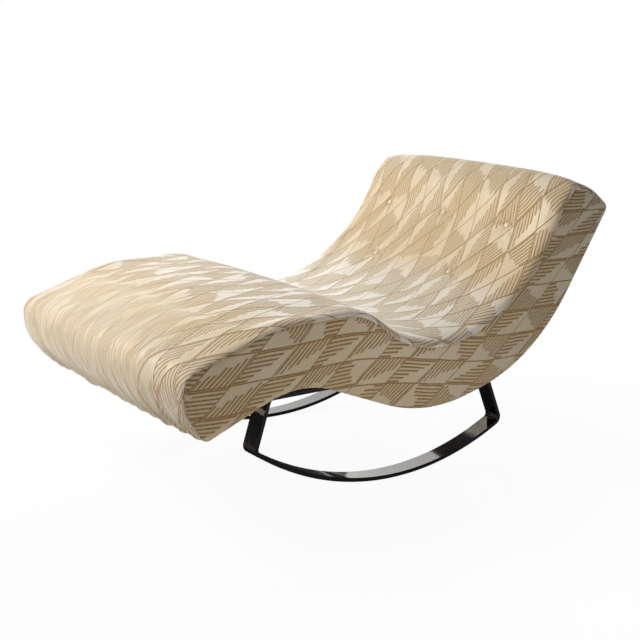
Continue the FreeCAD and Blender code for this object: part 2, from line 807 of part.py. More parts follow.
# Side foam and side covers, flat sheets with the body's outline.
side_pad_outline = body_outline.inset(under=under_level, **seam_insets(size("side_pad_inset")))
side_cover_outline = body_outline.inset(under=0, **seam_insets(size("seam_gap")))
for side_name, side in (("left", -1), ("right", 1)):
    pad_low = min(side * panel_face, side * side_pad_face)
    cover_low = min(side * side_pad_face, side * half_width)
    side_pad = sketched_body(
        "side_pad_" + side_name, [side_pad_outline], "side_pad_thickness", pad_low
    )
    add_part("side_pad_" + side_name, side_pad)
    side_cover = sketched_body(
        "side_cover_" + side_name, [side_cover_outline], "cover_thickness", cover_low
    )
    add_part("side_cover_" + side_name, side_cover)

# Underside: one layer below the frame, parted into the outside back and the dust cover.
under_outer = body_outline.inset(under=0)
under_inner = body_outline.inset(under=size("under_cover_thickness"), **seam_insets(-overshoot))
under_layer = under_outer.prism(-side_pad_face, side_pad_face).cut(
    under_inner.prism(-half_width, half_width)
)
front_block = block_before(size("dust_cover_end"))
slots = []
for side in (-1, 1):
    clearance = size("slot_clearance")
    x_low = side * loop_middle - size("bar_width") / 2 - clearance
    x_high = side * loop_middle + size("bar_width") / 2 + clearance
    ring = loop_outline.inset(bar=-clearance).prism(x_low, x_high)
    hollow = loop_outline.inset(bar=size("bar_thickness") + clearance)
    hollow = hollow.prism(x_low - overrun, x_high + overrun)
    slots.append(ring.cut(hollow))
back_cover = under_layer.cut(front_block).cut(slots)
dust_cover = under_layer.common(front_block).cut(slots)
add_part("back_cover", add_shape("back_cover", back_cover))
add_part("dust_cover", add_shape("dust_cover", dust_cover))


pad_underside = Part.Wire([curve.toShape() for curve in body_outline.inset(**pad_insets(0)).curves()])


def below_seam(station):
    """Point of the pad's underside square below the seam at a station."""
    base, outward = station_at(seam_top, station)
    probe = Part.makeLine(base, base - outward * size("twine_reach"))
    crossings = [pair[0] for pair in pad_underside.distToShape(probe)[1]]
    return min(crossings, key=lambda point: (point - base).Length)


# Buttons, their twine, and the fibre washers that hold it behind the burlap.
buttons = []
twines = []
anchors = []
for x, station in TUFTS:
    rim_rise = size("tuft_radius") - math.sqrt(size("tuft_radius") ** 2 - size("button_radius") ** 2)
    rim_level = crown_level(x) - size("tuft_depth") + rim_rise + gap
    foot, outward = tuft_point(x, station, rim_level)
    rim = Part.makeCylinder(size("button_radius"), size("button_rim"), foot, outward)
    dome_radius = (size("button_radius") ** 2 + size("button_rise") ** 2) / (2 * size("button_rise"))
    dome_centre = foot + outward * (size("button_rim") + size("button_rise") - dome_radius)
    dome = Part.makeSphere(dome_radius, dome_centre)
    column = Part.makeCylinder(
        size("button_radius"), size("button_rim") + size("button_rise") + overrun, foot, outward
    )
    buttons.append(rim.fuse(dome.common(column)).removeSplitter())
    knot = below_seam(station) + V(x, 0, 0)
    along = below_seam(station + size("button_radius")) - below_seam(station - size("button_radius"))
    square = V(0, -along.z, along.y).normalize()
    anchor_foot = knot - square * (frame_depth + gap + size("anchor_thickness"))
    twine_length = (foot - knot).Length + frame_depth + gap + size("anchor_thickness")
    twine = Part.makeCylinder(size("twine_radius"), twine_length, foot, outward * -1)
    twines.append(twine)
    disc = Part.makeCylinder(size("anchor_radius"), size("anchor_thickness"), anchor_foot, square)
    anchors.append(disc.cut(twine))
add_part("buttons", add_shape("buttons", Part.makeCompound(buttons)))
add_part("button_twines", add_shape("button_twines", Part.makeCompound(twines)))
add_part("button_anchors", add_shape("button_anchors", Part.makeCompound(anchors)))

doc.recompute()

for thing in doc.Objects:
    if "Invalid" in thing.State or "Error" in thing.State:
        raise RuntimeError("%s failed: %s" % (thing.Name, thing.State))
for name, thing in parts:
    if thing.Shape.isNull() or not thing.Shape.isValid():
        raise RuntimeError("%s has no valid shape" % name)



CUBIC_METRE = 1e9


def density(name):
    """Weight of a node's material, in kg per cubic millimetre."""
    if name.startswith(("base_", "frame_screws")):
        return size("steel_density") / CUBIC_METRE
    if name.startswith(("side_panel", "rail_", "back_board", "corner_blocks", "button_anchors")):
        return size("wood_density") / CUBIC_METRE
    return size("soft_density") / CUBIC_METRE


# At rest the chaise's weight lies straight above the line on which the runners touch the floor, so
# it is rolled about the runners' centre until it does.
weight = 0.0
moment = V(0, 0, 0)
for name, thing in parts:
    for solid in thing.Shape.Solids:
        weight += solid.Volume * density(name)
        moment += solid.CenterOfMass * (solid.Volume * density(name))
balance = moment / weight
roll = math.degrees(math.atan2(runner_centre.y - balance.y, runner_centre.z - balance.z))
to_rest = FreeCAD.Placement(V(0, 0, 0), FreeCAD.Rotation(V(1, 0, 0), roll), runner_centre)
for name, thing in parts:
    thing.Placement = to_rest.multiply(thing.Placement)

# The origin goes under the middle of the finished chaise.
y_low = min(thing.Shape.optimalBoundingBox(False, False).YMin for name, thing in parts)
y_high = max(thing.Shape.optimalBoundingBox(False, False).YMax for name, thing in parts)
to_origin = FreeCAD.Placement(V(0, -(y_low + y_high) / 2, 0), FreeCAD.Rotation())

os.makedirs("parts", exist_ok=True)
for name, thing in parts:
    thing.Placement = to_origin.multiply(thing.Placement)
    thing.Shape.exportStep("parts/%s.step" % name)
    print("%-20s %3d solids %12.1f mm3" % (name, len(thing.Shape.Solids), thing.Shape.Volume))
print("weight %.1f kg, rolled by %.2f degrees to rest" % (weight, roll))
print("origin at %.2f mm along Y before the last shift" % ((y_low + y_high) / 2))
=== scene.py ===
# %% [markdown]
# # Dressing a rocking chaise lounge
#
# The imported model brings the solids: frame, foam, covers and the two steel loops. This lesson gives
# them the looks of the real thing: cut-pile cloth pulled over foam, buttons sewn into the back, and
# polished flat bar underneath. Everything is in metres. X runs across the chaise, Y from the foot to
# the head, and the floor is at Z = 0.

# %% Load the solids
import math

import bpy
import numpy as np
from mathutils import Matrix, Vector


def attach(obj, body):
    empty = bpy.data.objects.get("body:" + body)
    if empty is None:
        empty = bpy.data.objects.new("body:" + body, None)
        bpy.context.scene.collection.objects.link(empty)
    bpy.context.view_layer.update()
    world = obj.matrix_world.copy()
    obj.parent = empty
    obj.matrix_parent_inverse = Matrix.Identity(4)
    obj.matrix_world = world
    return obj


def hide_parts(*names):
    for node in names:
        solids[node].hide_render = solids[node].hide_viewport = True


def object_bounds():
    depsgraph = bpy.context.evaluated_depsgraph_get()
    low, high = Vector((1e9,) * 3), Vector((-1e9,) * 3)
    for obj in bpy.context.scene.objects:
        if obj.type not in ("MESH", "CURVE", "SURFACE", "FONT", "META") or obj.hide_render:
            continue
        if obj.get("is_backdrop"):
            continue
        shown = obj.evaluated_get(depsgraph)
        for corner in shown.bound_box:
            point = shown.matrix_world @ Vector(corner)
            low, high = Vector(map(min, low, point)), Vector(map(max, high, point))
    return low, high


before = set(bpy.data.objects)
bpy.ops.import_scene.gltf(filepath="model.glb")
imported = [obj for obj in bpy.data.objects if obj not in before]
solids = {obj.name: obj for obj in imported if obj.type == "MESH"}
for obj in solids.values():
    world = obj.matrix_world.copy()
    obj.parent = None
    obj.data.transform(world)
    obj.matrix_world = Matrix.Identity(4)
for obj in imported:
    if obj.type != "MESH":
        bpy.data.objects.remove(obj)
solids_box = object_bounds()
print(len(solids), "nodes, from", tuple(solids_box[0]), "to", tuple(solids_box[1]))

# %% [markdown]
# ## Tools for pieces and finishes
#
# Every finish here is a node tree, worked out from formulas and noise. A few short functions keep
# those trees readable. Most of them add one or two nodes and return an output to carry on with.

# %% Helpers for pieces and node trees
def placed(name, data):
    """A new object of the scene, with its data."""
    made = bpy.data.objects.new(name, data)
    bpy.context.scene.collection.objects.link(made)
    return made


def mesh_object(name, points, faces):
    """A new object from lists of points and faces."""
    mesh = bpy.data.meshes.new(name)
    mesh.from_pydata([tuple(p) for p in points], [], [tuple(f) for f in faces])
    mesh.update()
    return placed(name, mesh)


def feed(tree, node, inputs):
    """Links inputs of a node to other nodes' outputs, or sets them to plain values."""
    for key, value in inputs.items():
        if isinstance(value, bpy.types.NodeSocket):
            tree.links.new(value, node.inputs[key])
        else:
            node.inputs[key].default_value = value


def new_node(tree, kind, inputs, **settings):
    """A new node of a tree, with its settings and its inputs, which go by number or name."""
    node = tree.nodes.new("ShaderNode" + kind)
    for setting, value in settings.items():
        setattr(node, setting, value)
    feed(tree, node, inputs)
    return node


def calc(tree, operation, first, second=0.0, third=0.0):
    """One math node; each input is a number or another node's output."""
    return new_node(tree, "Math", {0: first, 1: second, 2: third}, operation=operation).outputs[0]


def times(tree, first, second):
    """Two values multiplied."""
    return calc(tree, "MULTIPLY", first, second)


def clipped(tree, value):
    """A value held between 0 and 1."""
    return new_node(tree, "Clamp", {0: value}).outputs[0]


def ramp(tree, value, gain, offset):
    """A value times a gain, plus an offset, held between 0 and 1."""
    return clipped(tree, calc(tree, "MULTIPLY_ADD", value, gain, offset))


def summed(tree, start, *terms):
    """A number plus values that are each multiplied by a factor."""
    total = start
    for value, factor in terms:
        total = calc(tree, "MULTIPLY_ADD", value, factor, total)
    return total


def blend_colours(tree, share, first, second):
    """A mix of two colours, each a tuple or another node's output."""
    return new_node(tree, "Mix", {0: share, 6: first, 7: second}, data_type="RGBA").outputs[2]


def joined(tree, *values):
    """Up to three values, joined to one vector."""
    return new_node(tree, "CombineXYZ", dict(enumerate(values))).outputs[0]


def chance(tree, *values):
    """A random value from 0 to 1 that belongs to up to three values."""
    return new_node(tree, "TexWhiteNoise", {"Vector": joined(tree, *values)}).outputs["Value"]


def noise(tree, place, scale, detail=2.0, stretch=None):
    """Soft noise at a place, with its scale in cells to the metre."""
    if stretch is not None:
        place = new_node(tree, "VectorMath", {0: place, 1: stretch}, operation="MULTIPLY").outputs[0]
    return new_node(tree, "TexNoise", {"Vector": place, "Scale": scale, "Detail": detail}).outputs[0]


def new_finish(name, roughness=0.5, metallic=0.0):
    """A material with its node tree, its main shader and the piece's own coordinates."""
    finish = bpy.data.materials.new(name)
    finish.use_nodes = True
    tree = finish.node_tree
    shader = tree.nodes["Principled BSDF"]
    feed(tree, shader, {"Roughness": roughness, "Metallic": metallic})
    return finish, tree, shader, new_node(tree, "TexCoord", {}).outputs["Object"]


def two_tone(tree, shader, tone, first, second):
    """Colours a shader between two colours, by a tone from 0 to 1."""
    feed(tree, shader, {"Base Color": blend_colours(tree, tone, first, second)})


def raise_surface(tree, shader, height, distance, strength=1.0):
    """Gives a shader fine relief."""
    bump = new_node(tree, "Bump", {"Height": height, "Distance": distance, "Strength": strength})
    feed(tree, shader, {"Normal": bump.outputs[0]})


print("helpers ready")

# %% [markdown]
# ## The camera
#
# The picture was taken from the right of the foot end, a little above the back. A lens of 57 mm on a
# 36 mm sensor keeps the perspective mild. The chaise was photographed with its head a little lower
# than it rests by its own weight, so the camera leans instead of the chaise.

# %% Place the camera
LENS = 56.63
CAMERA_PLACE = Vector((2.1769, -1.9594, 1.0699))
CAMERA_LOOKS = Vector((-0.7252, 0.6510, -0.2242))
CAMERA_LEAN = math.radians(5.12)

camera_data = bpy.data.cameras.new("camera")
camera_data.lens = LENS
camera = placed("camera", camera_data)
level = CAMERA_LOOKS.to_track_quat("-Z", "Y").to_matrix()
camera.matrix_world = Matrix.Translation(CAMERA_PLACE) @ (
    level @ Matrix.Rotation(CAMERA_LEAN, 3, "Z")
).to_4x4()
bpy.context.scene.camera = camera
print("camera", CAMERA_PLACE.length, "m from the origin")

# %% [markdown]
# ## Floor, backdrop and light
#
# A studio shot needs a pale floor that keeps the soft shadow, and a white world behind it. More light
# would bleach the cloth, so the white comes from Light Path instead: what the camera or a mirror sees
# of the world is plain white, and the floor shades off into that white away from the chaise.

# %% Floor
FLOOR_SIZE = 14.0
FLOOR_COLOUR = (0.86, 0.86, 0.86, 1)
PLAIN_WHITE = (1, 1, 1, 1)
DULL = 0.9
SHADOW_STARTS_TO_FADE = 0.9
SHADOW_GONE = 2.1
SHADOW_TO_CAMERA = 0.05
SHADOW_TO_MIRRORS = 0.85


def ways_seen(tree):
    """Whether a ray comes from the camera, and whether from a mirror or through glass."""
    path = new_node(tree, "LightPath", {}).outputs
    mirrored = calc(tree, "MAXIMUM", path["Is Glossy Ray"], path["Is Transmission Ray"])
    return path["Is Camera Ray"], mirrored


def mix_white(tree, share, shader, output):
    """Sends plain white and a shader to the output, in a given share of white."""
    white = new_node(tree, "Emission", {"Color": PLAIN_WHITE})
    mix = new_node(tree, "MixShader", {0: share, 1: shader.outputs[0], 2: white.outputs[0]})
    feed(tree, output, {"Surface": mix.outputs[0]})


half = FLOOR_SIZE / 2
floor = mesh_object(
    "floor", [(-half, -half, 0), (half, -half, 0), (half, half, 0), (-half, half, 0)], [(0, 1, 2, 3)]
)
floor_finish, floor_tree, floor_shader, floor_place = new_finish("pale_floor", DULL)
feed(floor_tree, floor_shader, {"Base Color": FLOOR_COLOUR})
from_middle = new_node(floor_tree, "VectorMath", {0: floor_place}, operation="LENGTH")
fade = calc(floor_tree, "SUBTRACT", SHADOW_GONE, from_middle.outputs["Value"])
fade = clipped(floor_tree, calc(floor_tree, "DIVIDE", fade, SHADOW_GONE - SHADOW_STARTS_TO_FADE))
by_camera, by_mirror = ways_seen(floor_tree)
to_camera = calc(floor_tree, "MULTIPLY_ADD", fade, -SHADOW_TO_CAMERA, 1.0)
to_mirror = calc(floor_tree, "MULTIPLY_ADD", fade, -SHADOW_TO_MIRRORS, 1.0)
white_share = summed(floor_tree, 0.0, (to_mirror, by_mirror), (to_camera, by_camera))
mix_white(floor_tree, white_share, floor_shader, floor_tree.nodes["Material Output"])
floor.data.materials.append(floor_finish)
floor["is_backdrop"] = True
print("floor", FLOOR_SIZE, "m square")

# %% World
WORLD_COLOUR = (1.0, 0.985, 0.96, 1)
WORLD_STRENGTH = 0.062

world = bpy.data.worlds.new("studio")
world.use_nodes = True
bpy.context.scene.world = world
world_tree = world.node_tree
world_light = world_tree.nodes["Background"]
feed(world_tree, world_light, {"Color": WORLD_COLOUR, "Strength": WORLD_STRENGTH})
seen = calc(world_tree, "MAXIMUM", *ways_seen(world_tree))
mix_white(world_tree, seen, world_light, world_tree.nodes["World Output"])
bpy.context.scene.view_settings.view_transform = "Standard"
print("world lights the chaise at", WORLD_STRENGTH)

# %% [markdown]
# ## Lamps and flags
#
# A wide cool lamp behind the chaise on its left grazes the crest of the legs and the seat, where the
# pile turns nearly white. A warm one high in front on the left lights the back, the legs and the foot
# end. The near side stays in soft shade, with a weak lamp before its middle. Polished steel has no
# look of its own, it shows the room. In a white room it would vanish, so a photographer lays black
# cloth under it and stands black flags beside it. These are seen by the mirrors alone, and of the
# lamps only the warm one shines in them.

# %% Lamps
LAMPS = [
    # name, place, aimed at, size across, watts, colour
    ("rear_window", (-3.3, 2.1, 2.15), (0.0, 0.0, 0.5), 1.9, 188, (0.84, 0.93, 1.0)),
    ("warm_front", (-1.45, -2.7, 3.0), (0.0, 0.0, 0.4), 1.6, 147, (1.0, 0.91, 0.79)),
    ("side_fill", (1.3, -0.05, 0.35), (0.4, -0.05, 0.35), 0.3, 1.9, (1.0, 0.91, 0.80)),
]
for lamp_name, place, target, across, watts, colour in LAMPS:
    lamp_data = bpy.data.lights.new(lamp_name, "AREA")
    lamp_data.shape = "SQUARE"
    lamp_data.size = across
    lamp_data.energy = watts
    lamp_data.color = colour
    lamp = placed(lamp_name, lamp_data)
    lamp.location = place
    lamp.rotation_euler = (Vector(target) - Vector(place)).to_track_quat("-Z", "Y").to_euler()
    lamp.visible_camera = False
    lamp.visible_glossy = lamp_name == "warm_front"
    print("lamp", lamp_name, watts, "W")

# %% Black flags
VELVET_BLACK = (0.012, 0.010, 0.009, 1)
BLACK_CLOTH_BOX = (-1.0, -1.3, 1.7, 1.7)
BLACK_CLOTH_HEIGHT = 0.001
FLAGS = [
    # name, middle of the flag, width, height
    ("flag_front_left", (-1.9, -2.3, 0.95), 3.2, 1.9),
    ("flag_rear_low", (-1.35, 1.85, 0.11), 3.0, 0.22),
    ("flag_rear_high", (-1.35, 1.46, 2.35), 2.0, 1.9),
]
black_velvet, velvet_tree, velvet_shader = new_finish("black_velvet", DULL)[:3]
feed(velvet_tree, velvet_shader, {"Base Color": VELVET_BLACK})


def for_mirrors_alone(name, corners):
    """A black card or cloth, part of the stage, that only a mirror sees."""
    card = mesh_object(name, corners, [(0, 1, 2, 3)])
    card.data.materials.append(black_velvet)
    card.visible_camera = False
    card.visible_diffuse = False
    card.visible_shadow = False
    card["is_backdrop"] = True
    print(name, "seen by mirrors alone")


x_low, y_low, x_high, y_high = BLACK_CLOTH_BOX
cloth_corners = ((x_low, y_low), (x_high, y_low), (x_high, y_high), (x_low, y_high))
for_mirrors_alone("black_cloth", [(x, y, BLACK_CLOTH_HEIGHT) for x, y in cloth_corners])
for flag_name, middle, width, height in FLAGS:
    middle = Vector(middle)
    sideways = Vector((-middle.y, middle.x, 0)).normalized() * width / 2
    up = Vector((0, 0, height / 2))
    right_side, left_side = middle + sideways, middle - sideways
    for_mirrors_alone(flag_name, [left_side - up, right_side - up, right_side + up, left_side + up])

# %% [markdown]
# ## The wave
#
# The side view of the upholstered body is a chain of straight runs and round bends. The corners below
# are nearly those of the solids, each with the radius that rounds it, in metres from the nose of the
# foot end. The cover is softer than the foam under it: its nose is rounder, and at the head it leans
# back over the last 100 mm and bulges between its two corners. The whole drawing is then rolled about
# the runners' centre until the chaise balances, and shifted so that the origin lies under its middle.

# %% Corners of the wave
ROLL = math.radians(5.88)
ROLL_CENTRE = (0.883, 1.0)
SHIFT = 0.80904
BODY_WIDTH = 0.813
WAVE = [
    # name, y, z, radius of the bend
    ("foot_low", 0.055, 0.338, 0.020),
    ("foot_bulge", 0.000, 0.418, 0.140),
    ("nose", 0.000, 0.507, 0.040),
    ("knee_front", 0.258, 0.573, 0.384),
    ("knee_rear", 0.540, 0.561, 0.211),
    ("seat_front", 0.814, 0.347, 0.401),
    ("seat_rear", 1.247, 0.533, 0.575),
    ("head_lean", 1.3485, 0.741, 0.070),
    ("head_front", 1.397, 0.788, 0.015),
    ("head_top", 1.490, 0.768, 0.220),
    ("head_back", 1.577, 0.716, 0.018),
    ("belly_rear", 1.255, 0.277, 0.575),
    ("belly_front", 0.787, 0.217, 0.601),
    ("arch", 0.336, 0.424, 0.293),
]
CORNER = {corner[0]: index for index, corner in enumerate(WAVE)}
SHORTEST_RUN = 1e-6
TIGHT_BEND = 0.05


def to_rest(y, z):
    """A point of the drawing where it lies when the chaise rests on the floor."""
    dy, dz = y - ROLL_CENTRE[0], z - ROLL_CENTRE[1]
    return (
        ROLL_CENTRE[0] + dy * math.cos(ROLL) - dz * math.sin(ROLL) - SHIFT,
        ROLL_CENTRE[1] + dy * math.sin(ROLL) + dz * math.cos(ROLL),
    )


def rounding(index):
    """Start, end, centre and turn of the bend at a corner."""
    corner = np.array(WAVE[index][1:3])
    before = corner - np.array(WAVE[index - 1][1:3])
    after = np.array(WAVE[(index + 1) % len(WAVE)][1:3]) - corner
    before /= np.linalg.norm(before)
    after /= np.linalg.norm(after)
    turn = math.atan2(before[0] * after[1] - before[1] * after[0], before @ after)
    cut = WAVE[index][3] * math.tan(abs(turn) / 2)
    start = corner - before * cut
    centre = start + np.array((-before[1], before[0])) * math.copysign(WAVE[index][3], turn)
    return start, corner + after * cut, centre, turn


def run_lengths(points):
    """Distance of each point of a line from its start."""
    return np.concatenate(([0.0], np.cumsum(np.linalg.norm(np.diff(points, axis=0), axis=1))))


def resampled(points, count):
    """A line of points, spaced evenly."""
    distance = run_lengths(points)
    even = np.linspace(0, distance[-1], count)
    return np.stack([np.interp(even, distance, points[:, k]) for k in (0, 1)], axis=1)


def wave_line(first, last, step, sharp_step=0.004, round_last=False):
    """Points, outward directions and distances along the wave, from one corner to another.

    It starts after the bend at the first corner, and takes in the bend at the last one if asked.
    """
    points, outwards = [], []
    index = CORNER[first]
    position = rounding(index)[1]
    while index != CORNER[last]:
        index = (index + 1) % len(WAVE)
        start, end, centre, turn = rounding(index)
        run = start - position
        length = np.linalg.norm(run)
        if length > SHORTEST_RUN:
            along = run / length
            parts = max(1, round(length / step))
            for k in range(parts):
                points.append(position + run * k / parts)
                outwards.append(np.array((-along[1], along[0])))
        position = start
        if index == CORNER[last] and not round_last:
            break
        arm = start - centre
        bend = abs(turn) * WAVE[index][3]
        parts = max(2, round(bend / (step if WAVE[index][3] > TIGHT_BEND else sharp_step)))
        for k in range(parts):
            angle = turn * k / parts
            cosine, sine = math.cos(angle), math.sin(angle)
            spun = np.array((arm[0] * cosine - arm[1] * sine, arm[0] * sine + arm[1] * cosine))
            points.append(centre + spun)
            outwards.append(spun / np.linalg.norm(spun) * (-1 if turn > 0 else 1))
        position = end
    points.append(position)
    outwards.append(outwards[-1])
    return np.array(points), np.array(outwards), run_lengths(np.array(points))


print("the wave has", len(WAVE), "corners")

# %% [markdown]
# ## The cloth
#
# The cover is a cut-pile cloth: a cream ground with tan lines of pile. Two families of lines cross at
# about 44 degrees and make a lattice of leaning cells. Part of each cell is plain and shines like
# satin, the rest is hatched with fine lines along one family or the other, whose ends step like a
# stair. An image would blur close up, so math nodes work the pattern out from the place on the flat
# cloth, which is kept as a UV map in metres. Where the pile is brushed flat, over the foot end and
# the middle of the top, the lines fade; a vertex attribute says how much.

# %% Pattern of the cloth
LEVEL_PITCH = 0.071
SLANT_PITCH = 0.116
SLANT_RUN = 0.0846
LEVEL_HATCHES = 7
SLANT_HATCHES = 8
SLANT_HATCH_WIDTH = 0.9
LEVEL_LATTICE_WIDTH = 0.050
SLANT_LATTICE_WIDTH = 0.030
LINE_SOFTNESS = 0.35
SHORTEST_HATCH = 0.22
HATCH_GROWTH = 0.70
RAGGEDNESS = 0.15
HATCH_END_SHARPNESS = 50.0
LEVEL_SALT = 3.0
SLANT_SALT = 7.0
LEAN = math.radians(27.5)
FOLD_LEAN = 0.30
HAIRS_ACROSS = 210.0
HAIRS_ALONG = 9.0


def stripe(tree, position, width):
    """1 inside a line of a given share of its pitch round each whole number, else 0, with soft edges."""
    off = calc(tree, "PINGPONG", position, 0.5)
    edge = calc(tree, "SUBTRACT", width / 2, off)
    return ramp(tree, edge, 1 / (LINE_SOFTNESS * width), 0.5)


def cell_chance(tree, row, column, salt):
    """0 or 1 for each cell of the lattice, at random."""
    return calc(tree, "GREATER_THAN", chance(tree, row, column, salt), 0.5)


def hatching(tree, cell, lead, other, count, width, salt):
    """Parallel lines in each cell that end like a stair, and the part of the cell that they fill."""
    steps = times(tree, lead, count)
    number = calc(tree, "FLOOR", steps)
    other_end = cell_chance(tree, *cell, salt)
    other_way = cell_chance(tree, *cell, salt + 1)
    from_start = calc(tree, "ABSOLUTE", calc(tree, "SUBTRACT", other_end, other))
    growth = calc(tree, "DIVIDE", calc(tree, "ADD", number, 0.5), count)
    growth = calc(tree, "ABSOLUTE", calc(tree, "SUBTRACT", other_way, growth))
    ragged = chance(tree, number, *cell)
    reach = summed(tree, SHORTEST_HATCH, (growth, HATCH_GROWTH), (ragged, RAGGEDNESS))
    filled = ramp(tree, calc(tree, "SUBTRACT", reach, from_start), HATCH_END_SHARPNESS, 0.0)
    lines = stripe(tree, calc(tree, "ADD", steps, 0.5), width)
    return times(tree, filled, lines), filled


def lattice_of_cells(tree, level_way, upward, hatch_width):
    """All lines of the pattern, and the part of the cloth that is hatched."""
    strip = calc(tree, "DIVIDE", upward, LEVEL_PITCH)
    slanted = calc(tree, "DIVIDE", level_way, SLANT_PITCH)
    slanted = calc(tree, "MULTIPLY_ADD", strip, -SLANT_RUN / SLANT_PITCH, slanted)
    cell = calc(tree, "FLOOR", strip), calc(tree, "FLOOR", slanted)
    over, onward = calc(tree, "FRACT", strip), calc(tree, "FRACT", slanted)
    slant_width = hatch_width * SLANT_HATCH_WIDTH
    level_lines, level_zone = hatching(tree, cell, over, onward, LEVEL_HATCHES, hatch_width, LEVEL_SALT)
    slant_lines, slant_zone = hatching(tree, cell, onward, over, SLANT_HATCHES, slant_width, SLANT_SALT)
    odd = calc(tree, "PINGPONG", calc(tree, "ADD", *cell), 1.0)
    even = calc(tree, "SUBTRACT", 1.0, odd)
    zone = summed(tree, 0.0, (level_zone, odd), (slant_zone, even))
    lines = summed(tree, 0.0, (level_lines, odd), (slant_lines, even))
    level_lattice = stripe(tree, strip, LEVEL_LATTICE_WIDTH)
    slant_lattice = stripe(tree, slanted, SLANT_LATTICE_WIDTH)
    lattice = calc(tree, "MAXIMUM", level_lattice, slant_lattice)
    return calc(tree, "MAXIMUM", lines, lattice), zone


def velvet_way(tree, u, v):
    """A place for noise that is drawn out along the brushed hairs, which lean as the folds do."""
    sine, cosine = math.sin(LEAN), math.cos(LEAN)
    weights = (
        (sine + FOLD_LEAN * cosine, FOLD_LEAN * sine - cosine, HAIRS_ACROSS),
        (cosine, sine, HAIRS_ALONG),
    )
    drawn_out = []
    for by_u, by_v, scale in weights:
        drawn_out.append(summed(tree, 0.0, (v, by_v * scale), (u, by_u * scale)))
    return joined(tree, *drawn_out)


def vertex_share(tree, attribute_name):
    """A share kept at each vertex; 0 on a piece that hasn't got it."""
    return new_node(tree, "Attribute", {}, attribute_name=attribute_name).outputs["Fac"]


print("the lattice repeats every", LEVEL_PITCH, "m by", SLANT_PITCH, "m")

# %% [markdown]
# The colours lie over each other from the ground up. Satin and plush pile come first, and both turn
# silvery with painted sheen over the legs, the seat and the head. Over them go soft streaks, painted
# shade in the fold valleys and round the buttons, a paler painted sheen in the seat, the hairs of the
# brushed foot end, clouds and the grain of the pile, and last the tan ink of the lines. Roughness and
# relief follow the same lines, so the hatching catches the light as well.

# %% The cut-pile cloth
CREAM_SATIN = (0.78, 0.675, 0.50, 1)
CREAM_PILE = (0.71, 0.585, 0.40, 1)
TAN_LINE = (0.35, 0.205, 0.075, 1)
TAN_SHADE = (0.52, 0.375, 0.21, 1)
# silver is the colour of the painted sheen, and of the pale hairs and clouds of the pile
SILVER = (0.88, 0.88, 0.865, 1)
GREIGE_PILE = (0.67, 0.605, 0.50, 1)
SHEEN_TINT = (1.0, 0.97, 0.9, 1)
SWAY_ACROSS = 0.010
SWAY_ALONG = -0.008
VELVET_GREY = 0.55
CLOUD_SHARE = 0.30
GRAIN_SHARE = 0.35
LEAST_ROUGHNESS = 0.42
# each of these is a gain and an offset
ZONE_CONTRAST = (-1.25, 1.2)
FLECKED_INK = (0.9, 0.45)
SHADE_STREAKS = (3.4, -1.55)
SHADE_SHARE = (0.30, 0.08)
PALE_HAIRS = (9.0, -4.85)
DARK_HAIRS = (-9.0, 3.95)
CLOUDS = (3.0, -1.4)


